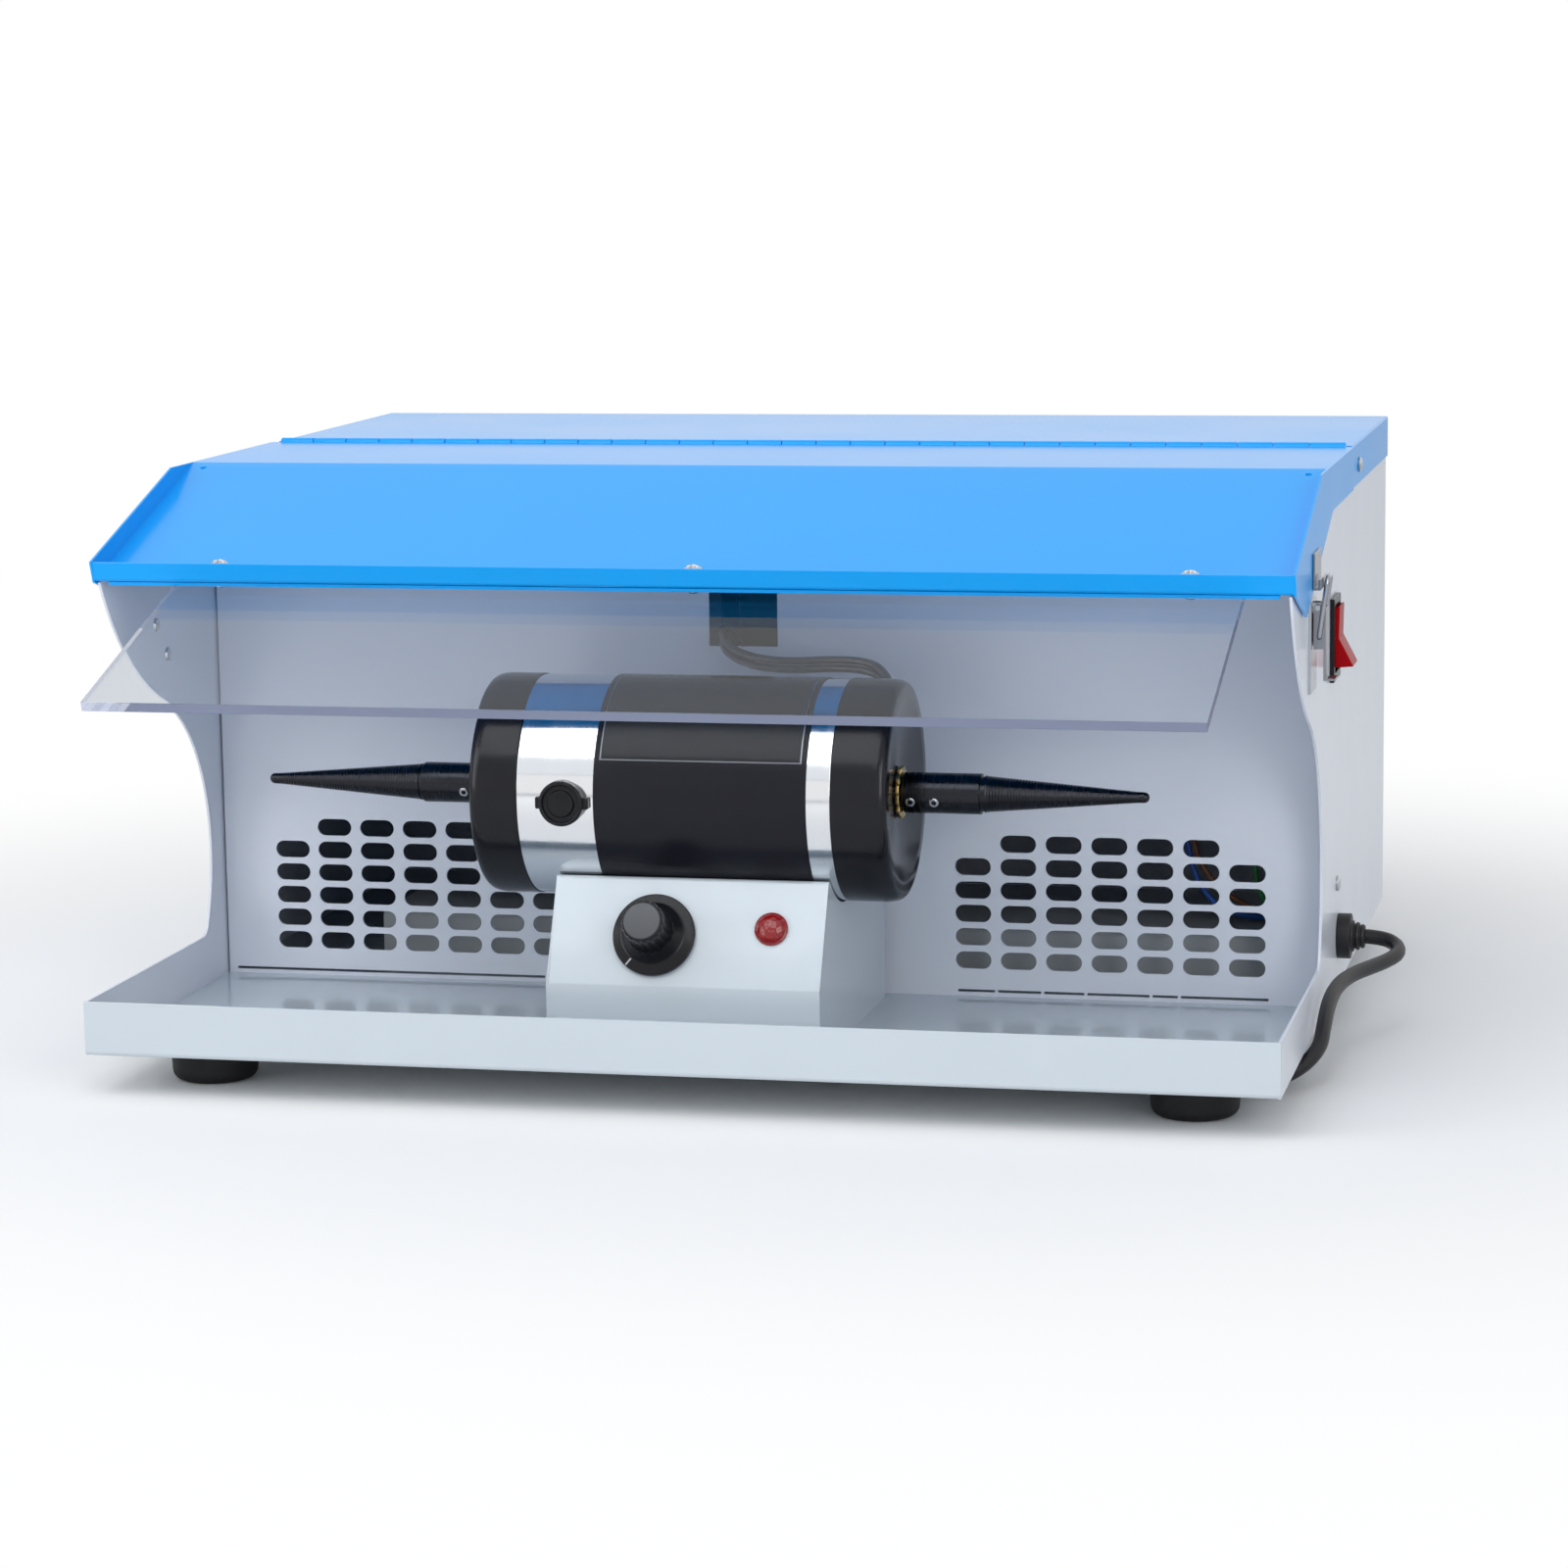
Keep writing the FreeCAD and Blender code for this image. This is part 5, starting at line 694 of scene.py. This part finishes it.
# Brush caps
# Black screwed caps front and back, with a raised rim, a middle disc and two ears.
brush_x, ear_half = 198, 2.5
brush_outline = [(36.4, 0), (36.4, 6), (44.3, 6), (44.3, 9.5), (49.0, 9.5), (49.6, 8.9),
                 (49.6, 7.9), (48.2, 7.6), (48.2, 5.8), (49.4, 5.4), (49.4, 0)]
brush_forms = []
for s in (-1, 1):
    brush_forms.append(turned(eased(brush_outline, 0.35, 3, False), (brush_x, motor_y, motor_z),
                              (0, s, 0), 64, False))
    for e in (-1, 1):
        low_y, high_y = sorted((motor_y + s * 44.4, motor_y + s * 48.0))
        low_x, high_x = sorted((brush_x + e * 7.3, brush_x + e * 11.3))
        brush_forms.append(rounded_box((low_x, low_y, motor_z - ear_half),
                                       (high_x, high_y, motor_z + ear_half), 0.7))
made("brush_covers", brush_forms, knob_black, "case", ["brush_caps"], 40)

# Parts inside the motor
# Laminated iron, the brushes in their holders, the commutator and the bearings.
stack_iron = metal("stacked_iron", (0.30, 0.31, 0.33), (0.35, 0.5), (1700, 20, 20), 0.4)
carbon = coated("pressed_carbon", (0.03, 0.03, 0.032), (0.4, 0.55), grain=2000.0, depth=0.3)
copper = metal("copper_bars", (0.72, 0.36, 0.20), (0.2, 0.35), (1200, 60, 60), 0.1)
steel = metal("ground_steel", (0.60, 0.61, 0.63), (0.14, 0.26), (1500, 8, 8), 0.05)
finished(("stator_core", stack_iron), ("armature", stack_iron), ("carbon_brushes", carbon),
         ("commutator", copper), ("bearings", steel))

# Motor shaft
# A ground steel shaft through both caps.
shaft_outline = eased([(128.3, 0), (128.3, 4), (362.7, 4), (362.7, 0)], 0.5, 3, False)
made("ground_shaft", [turned(shaft_outline, motor_axis, along_x, 48, False)], steel, "rotor",
     ["motor_shaft"])

# Taper spindles
# Black steel sleeves on the shaft ends. Each runs out in a long taper with a fine
# thread, left-handed on the left, that a polishing wheel is screwed onto.
blued = metal("blackened_steel", (0.030, 0.031, 0.036), (0.2, 0.3), (1500, 12, 12), 0.05)
motor_centre = (motor_middle, motor_y, motor_z)
sleeve_start, taper_start, cone_length = 87.5, 122.0, 66.25
root_radius, tip_radius, pitch, thread_depth = 7.75, 2.25, 1.25, 0.34


def taper(side):
    """The taper's radius falls evenly along it and ends in a quarter circle. The thread adds
    a triangle wave of the distance along the axis in pitches plus the turned angle, which
    climbs one pitch a turn."""
    along = np.linspace(0, cone_length + tip_radius, 440)
    base = root_radius + (tip_radius - root_radius) * np.clip(along / cone_length, 0, 1)
    tip = np.clip((along - cone_length) / tip_radius, 0, 1)
    base = base * np.sqrt(np.clip(1 - tip ** 2, 0, 1))
    angle = np.arange(48) * 2 * np.pi / 48
    phase = along[:, None] / pitch + side * angle[None, :] / (2 * np.pi)
    wave = np.abs(phase % 1 - 0.5) * 2
    fade = np.clip(along / 2, 0, 1) * np.clip((65.5 - along) / 2, 0, 1)
    radius = base[:, None] - thread_depth * (1 - wave) * fade[:, None]
    x = motor_middle + side * (taper_start + along[:, None] + 0 * angle)
    y = motor_y + radius * np.cos(angle)
    z = motor_z + radius * np.sin(angle)
    start = np.tile([motor_middle + side * taper_start, motor_y, motor_z], (1, 48, 1))
    points = np.concatenate([start, np.stack([x, y, z], axis=-1)])
    return placed(points.reshape(-1, 3)), grid_faces(len(points), 48, False, True)


sleeve = [(sleeve_start, 4.05), (sleeve_start, 7.9), (88.1, 8.5), (120.5, 8.5), (120.5, 7.3),
          (122.2, 7.3), (122.2, 4.05)]
spindle_forms = []
for s in (-1, 1):
    spindle_forms += [turned(eased(sleeve, 0.25, 3), motor_centre, (s, 0, 0), 96), taper(s)]
made("wheel_tapers", spindle_forms, blued, "rotor", ["taper_spindles"], 60)

# Set screws
# Two small socket screws in each sleeve grip the shaft.
grip_way = np.array([0, -math.cos(math.radians(20)), -math.sin(math.radians(20))])
socket_screw = [(0, 0), (0, 2.0), (2.55, 2.0), (2.75, 1.8), (2.75, 1.05), (1.4, 0.95), (1.4, 0)]
set_forms = []
for s in (-1, 1):
    for step in (4.0, 14.0):
        start = np.array(motor_centre) + (s * (sleeve_start + step), 0, 0) + grip_way * 6.0
        set_forms.append(turned(socket_screw, start, grip_way, 24, False))
made("grip_screws", set_forms, zinc, "rotor", ["set_screws"], 35)

# Lock washers
# Brass washers with a toothed edge between cap and sleeve.
washer_angle = np.arange(96) * 2 * np.pi / 96
tooth = 1 - 0.13 * np.clip(np.cos(washer_angle * 12) - 0.25, 0, 1)
washer_brass = metal("plain_brass", (0.60, 0.42, 0.16), (0.2, 0.34), (300, 300, 300), 0.08)
washer_outline = eased([(85.7, 4.0), (85.7, 11.0), (87.2, 11.0), (87.2, 4.0)], 0.3, 3)
washer_forms = [turned(washer_outline, motor_centre, (s, 0, 0), 96, True, tooth) for s in (-1, 1)]
centre = placed(motor_axis)
for points, quads in washer_forms:
    radius = np.hypot(points[:, 1] - centre[1], points[:, 2] - centre[2])
    lift = np.where(radius < 0.0041, 0.004 / np.maximum(radius, 1e-9), 1.0)
    points[:, 1:] = centre[1:] + (points[:, 1:] - centre[1:]) * lift[:, None]
made("toothed_washers", washer_forms, washer_brass, "rotor", ["lock_washers"], 35)


def flex_line(name, points):
    """The evaluated line of a NURBS curve through the points, as an array."""
    guide = smooth_curve(name, points, 0.0)
    guide.data.use_fill_caps = False
    bpy.context.view_layer.update()
    graph = bpy.context.evaluated_depsgraph_get()
    line = bpy.data.meshes.new_from_object(guide.evaluated_get(graph))
    spots = np.zeros(len(line.vertices) * 3)
    line.vertices.foreach_get("co", spots)
    bpy.data.meshes.remove(line)
    bpy.data.objects.remove(guide)
    return spots.reshape(-1, 3)


def tube_on(line, radius, sides=16, side=None):
    """A circle carried along a line: its plane is square to the line at each spot, it starts
    on the given side or on the level one, and both ends close in a point."""
    way = np.gradient(line, axis=0)
    way /= np.linalg.norm(way, axis=1, keepdims=True)
    if side is None:
        side = np.cross(way, (0.0, 0.0, 1.0)) + 1e-9
        side /= np.linalg.norm(side, axis=1, keepdims=True)
    upper = np.cross(way, side)
    angle = np.arange(sides) * 2 * np.pi / sides
    ring = side[:, None] * np.cos(angle)[:, None] + upper[:, None] * np.sin(angle)[:, None]
    size = np.concatenate([[0], np.full(len(line), radius), [0]])
    centre = np.vstack([line[:1], line, line[-1:]])
    ring = np.concatenate([ring[:1], ring, ring[-1:]])
    points = centre[:, None] + ring * size[:, None, None]
    return points.reshape(-1, 3), grid_faces(len(centre), sides, False, True)


# Motor cable
# A grey twin flex from the right cap, over the wall through its notch, down to the
# terminal block.
cable_route = [
    (322, 113, 144), (318, 118, 149.5), (308, 122, 152), (292, 127, 151.5), (272, 140, 148.5),
    (252, 150, 149), (240, 158, 153.5), (236, 168, 158.5), (236, 178, 159.5), (240.5, 186.5, 153),
    (244, 194, 139), (246, 201, 120), (247, 208, 99), (248, 214, 78), (250, 219, 59),
    (256, 222.5, 44.5), (265.5, 223, 37), (275.7, 223, 37)]
cable_line = flex_line("cable_guide", placed(cable_route))
cable_skin = coated("grey_flex", (0.045, 0.047, 0.055), (0.2, 0.26), grain=1200.0, depth=0.05,
                    shine=0.6)
cable_forms = [tube_on(cable_line + (0, 0, step), 0.0017) for step in (-0.00178, 0.00178)]
cable = made("motor_flex", cable_forms, cable_skin, "case", ["motor_cable"], 60)


# Terminal block
# A white nylon block with three ways on the ledge.
nylon = coated("natural_nylon", (0.68, 0.67, 0.60), (0.4, 0.5), grain=900.0, depth=0.15)
softened("terminal_body", "terminal_block", 0.3, nylon, "case")

# Mains wires
# Brown to the switch, blue to the terminal block, green to the earth screw.
wires = {
    "brown": ((0.18, 0.06, 0.022), [
        (488.1, 224, 26), (479, 221, 29.5), (469.5, 215, 33), (458, 212, 38.5), (449.5, 211, 44.5),
        (442.5, 210.5, 52.5), (438, 210, 63), (437, 208.5, 77), (440, 205, 94), (447, 201, 110),
        (457, 197.5, 121), (466.5, 195, 129.5), (473, 194, 138), (475.5, 193.5, 148)]),
    "blue": ((0.02, 0.11, 0.50), [
        (487.9, 221, 21), (479, 221.5, 25.5), (470, 220, 30.6), (461, 217.5, 31.2),
        (452.5, 215.5, 33.6), (445, 214, 38.8), (440, 213, 46), (436.5, 212, 55),
        (434.5, 211.5, 67), (431, 211, 80), (424, 211, 91), (412, 211, 99), (397, 211.5, 103),
        (381, 212, 102), (366, 213, 97), (352, 214.5, 88.5), (341, 216.5, 77), (333, 219, 64),
        (328, 221.5, 52), (322, 222.9, 41.8), (313, 223, 37)]),
    "green": ((0.04, 0.28, 0.08), [
        (488, 218, 24.5), (479.5, 215.5, 28.5), (472.5, 213, 34), (467.5, 211, 41.5),
        (465, 210.5, 50.5), (464.6, 210.5, 60.5), (465.5, 211, 70.5), (469.5, 212, 79),
        (476.5, 213, 83), (484.5, 214, 81.5), (489.6, 214.5, 74), (493.2, 215, 62),
        (494, 215, 50.1)])}
for colour_name, (colour, route) in wires.items():
    wire_name = "wire_" + colour_name
    line = flex_line(wire_name + "_guide", placed(route))
    wire_skin = coated(wire_name + "_insulation", colour, (0.28, 0.36), grain=900.0, depth=0.05)
    wire = made(wire_name + "_lead", [tube_on(line, 0.0012)], wire_skin, "case", [wire_name],
                60)

# Fan
# A black moulded axial fan at the vent slots, with its motor and impeller.
fan_black = coated("fan_nylon", (0.016, 0.017, 0.019), (0.4, 0.48), grain=1300.0, depth=0.18)
softened("fan_housing", "fan_frame", 0.4, fan_black, "case")
softened("fan_blades", "fan_impeller", 0.25, fan_black, "fan", 1)
finished(("fan_motor", stack_iron))

# Filter
# A black frame in front of the fan that holds pleated paper.
softened("filter_holder", "filter_frame", 0.4, fan_black, "case")
paper = coated("filter_paper", (0.62, 0.62, 0.57), (0.75, 0.9), grain=1500.0, depth=0.35, drift=0.1)
filter_low, filter_high = (np.array(corner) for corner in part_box("filter_pad"))
pleats, sheet, margin = 17, 0.0008, 0.0005
fold = np.arange(2 * pleats + 1)
pleat_x = (filter_low[0] + margin
           + (filter_high[0] - filter_low[0] - 2 * margin) * fold / (2 * pleats))
pleat_y = np.where(fold % 2 == 0, filter_low[1] + sheet, filter_high[1] - 2 * sheet)
outline = np.concatenate([np.stack([pleat_x, pleat_y], 1),
                          np.stack([pleat_x, pleat_y + sheet], 1)[::-1]])
levels = (filter_low[2] + margin, filter_high[2] - margin)
points = np.concatenate([np.column_stack([outline, np.full(len(outline), z)]) for z in levels])
wall = grid_faces(2, len(outline), False, True)
count = len(fold)
i = np.arange(count - 1)
strip = np.stack([i, i + 1, 2 * count - 2 - i, 2 * count - 1 - i], axis=1)
made("pleated_filter", [(points, np.vstack([wall, strip, strip[:, ::-1] + len(outline)]))],
     paper, "case", ["filter_pad"], 20)

# Mains switch
# A black snap-in switch in the right side, its red rocker tipped in at the top.
switch_black = coated("switch_plastic", (0.008, 0.008, 0.010), (0.22, 0.27), grain=1200.0,
                      depth=0.06, shine=0.2)
softened("switch_frame", "switch_body", 0.35, switch_black, "case")
rocker_red = coated("rocker_red", (0.34, 0.003, 0.006), (0.26, 0.3), grain=500.0, depth=0.02,
                    shine=0.04)
softened("rocker_cap", "switch_rocker", 0.5, rocker_red, "rocker", 3)

# Draw latches
# Pressed and plated steel: a base and a lever on each side panel, a wire bail on the lever, and a
# hooked keeper on the hood. The levers and keepers are the same plating with a darker base colour:
# painted dark reflections.
plate = metal("bright_plate", (0.46, 0.48, 0.51), (0.12, 0.22), (500, 500, 60), 0.05)
softened("latch_plates", "latch_bases", 0.3, plate, "case")
# Painted dark reflections: a darker copy of the bright plate, for the levers and keepers.
plate_painted_dark = metal("bright_plate_painted_dark", (0.24, 0.25, 0.28), (0.1, 0.18), (500, 500, 60), 0.05)
softened("lever_left", "latch_lever_left", 0.3, plate_painted_dark, "latch_left")
softened("lever_right", "latch_lever_right", 0.3, plate_painted_dark, "latch_right")
softened("keeper_hooks", "latch_keepers", 0.3, plate_painted_dark, "lid")
wire_metal = metal("plated_wire", (0.34, 0.35, 0.38), (0.08, 0.16), (400, 400, 400), 0.03)
tilt, bail_out, bail_foot = math.radians(8), 3.9, 171
bend = eased([(103.5, 0), (97.7, 0), (97.7, 25), (111.3, 25), (111.3, 0), (105.5, 0)],
             [0, 1.6, 3.2, 3.2, 1.6, 0], 6, False)
lengths = np.concatenate([[0], np.cumsum(np.linalg.norm(np.diff(bend, axis=0), axis=1))])
y, rise = (np.interp(np.linspace(0, 1, 120), lengths / lengths[-1], bend[:, k]) for k in (0, 1))
for side_name, (s, face) in zip(("left", "right"), sides_of_case):
    line = placed(np.stack([face + s * (bail_out + rise * math.sin(tilt)), y,
                            bail_foot + rise * math.cos(tilt)], axis=1))
    out_way = np.broadcast_to([s * math.cos(tilt), 0, -math.sin(tilt)], line.shape)
    made("bail_" + side_name, [tube_on(line, 0.001, 20, out_way)], wire_metal,
         "bail_" + side_name, ["latch_bail_" + side_name], 60)

# Rear cover
# A folded cover over the back half of the case, in glossy sky-blue enamel.
blue = coated("sky_blue_enamel", (0.0, 0.345, 0.88), (0.2, 0.23), grain=420.0, depth=0.02,
              drift=0.03, shine=0.28)
softened("blue_rear_cover", "rear_cover", 0.35, blue, "case", 3)

# Hinge
# A piano hinge over the whole width: knuckles on two folded leaves, painted with the
# hood, round a steel pin.
hinge_y, hinge_z = 266.2, 234.2
hinge_start, hinge_end, knuckles, knuckle_gap = 2, 498, 31, 0.15
knuckle_pitch = (hinge_end - hinge_start) / knuckles
for side_name, first, toward, sheet_top, bore, body in (
        ("fixed", 0, 1, 234.2, 1.25, "case"), ("moving", 1, -1, 234.0, 1.2, "lid")):
    near, far = sorted((hinge_y + toward * 2.9, hinge_y + toward * 22.0))
    low_y, high_y = sorted((hinge_y + toward * 1.6, hinge_y + toward * 3.2))
    forms = [rounded_box((hinge_start, near, sheet_top - 1), (hinge_end, far, sheet_top), 0.2, 2)]
    for k in range(first, knuckles, 2):
        x0 = hinge_start + k * knuckle_pitch + knuckle_gap
        x1 = hinge_start + (k + 1) * knuckle_pitch - knuckle_gap
        forms.append(turned(eased([(x0, bore), (x0, 2.6), (x1, 2.6), (x1, bore)], 0.35, 3),
                            (0, hinge_y, hinge_z), along_x, 28))
        forms.append(rounded_box((x0, low_y, sheet_top - 1), (x1, high_y, sheet_top), 0.15, 1))
    made("hinge_" + side_name, forms, blue, body, ["hinge_leaf_" + side_name], 50)
pin_outline = eased([(hinge_start, 0), (hinge_start, 1.2), (hinge_end, 1.2), (hinge_end, 0)],
                    0.4, 3, False)
made("hinge_rod", [turned(pin_outline, (0, hinge_y, hinge_z), along_x, 24, False)], steel, "lid",
     ["hinge_pin"])

# Hood
# One folded sheet: a flat top, a sunken slope, a front lip and two side skirts, in the
# same blue as the rear cover. A strip under the slope clamps the visor.
softened("blue_hood", "lid_panel", 0.6, blue, "lid", 3)
softened("visor_clamp", "clamp_strip", 0.3, blue, "lid")

# Visor
# A flat clear acrylic sheet with a faint blue tint. Its polished edges are painted a half-opaque
# pale blue: a painted glow of light in the edges.
acrylic, tree, shader = blank_material("clear_acrylic", {
    "Base Color": (0.93, 0.965, 1.0, 1), "Roughness": 0.015, "IOR": 1.17,
    "Transmission Weight": 1.0})
ripple = added(tree, "TexNoise", {"Scale": 9.0})
ripple_bump = added(tree, "Bump", {"Strength": 0.02, "Distance": 0.001})
joined(tree, (added(tree, "TexCoord"), "Object", ripple, "Vector"),
       (ripple, "Fac", ripple_bump, "Height"), (ripple_bump, "Normal", shader, "Normal"))
visor_sheet = softened("visor_sheet", "visor", 0.35, acrylic, "lid")
# Painted edge glow: the edge faces get a pale blue, half-opaque paint in place of the light the
# polished edges carry.
painted_edge_glow = coated("painted_edge_glow", (0.46, 0.52, 0.74), (0.2, 0.25), grain=600.0, depth=0.03,
                       drift=0.08)
painted_edge_glow.node_tree.nodes["Principled BSDF"].inputs["Alpha"].default_value = 0.45
visor_sheet.data.materials.append(painted_edge_glow)
facing = np.zeros(len(visor_sheet.data.polygons) * 3)
visor_sheet.data.polygons.foreach_get("normal", facing)
facing = facing.reshape(-1, 3)
visor_area = np.zeros(len(facing))
visor_sheet.data.polygons.foreach_get("area", visor_area)
sheet_way = facing[visor_area.argmax()]
is_edge = np.abs(facing @ sheet_way) < 0.5
visor_sheet.data.polygons.foreach_set("material_index", is_edge.astype(int))

# Visor screws
# Three cross-head screws with nuts hold the visor and its strip under the slope.
lip_y, lip_z, screw_line = 33.6, 196.5, 14.0
hood_slope = math.atan2(235.0 - lip_z, 155.0 - lip_y)
screw_up = np.array([0, -math.sin(hood_slope), math.cos(hood_slope)])
nut_flats = eased([(0, 2.0), (0, 4.0), (2.2, 4.0), (2.2, 2.0)], 0.2, 2)
nut_dome = eased([(2.1, 2.0), (2.1, 3.4), (2.9, 3.25), (3.6, 2.7), (4.0, 2.1), (4.0, 2.0)], 0.2, 2)
visor_forms = []
for x in (49.2, 253.5, 457.8):
    top = np.array([x, lip_y + screw_line * math.cos(hood_slope),
                    lip_z + screw_line * math.sin(hood_slope)])
    under = top - screw_up * 6.5
    visor_forms += [pan_head(top, screw_up, 4.0, 3.0, 2.0, 10.5),
                    turned(nut_flats, under, -screw_up, 6), turned(nut_dome, under, -screw_up, 32)]
made("visor_fasteners", visor_forms, zinc, "lid", ["visor_screws"], 35)
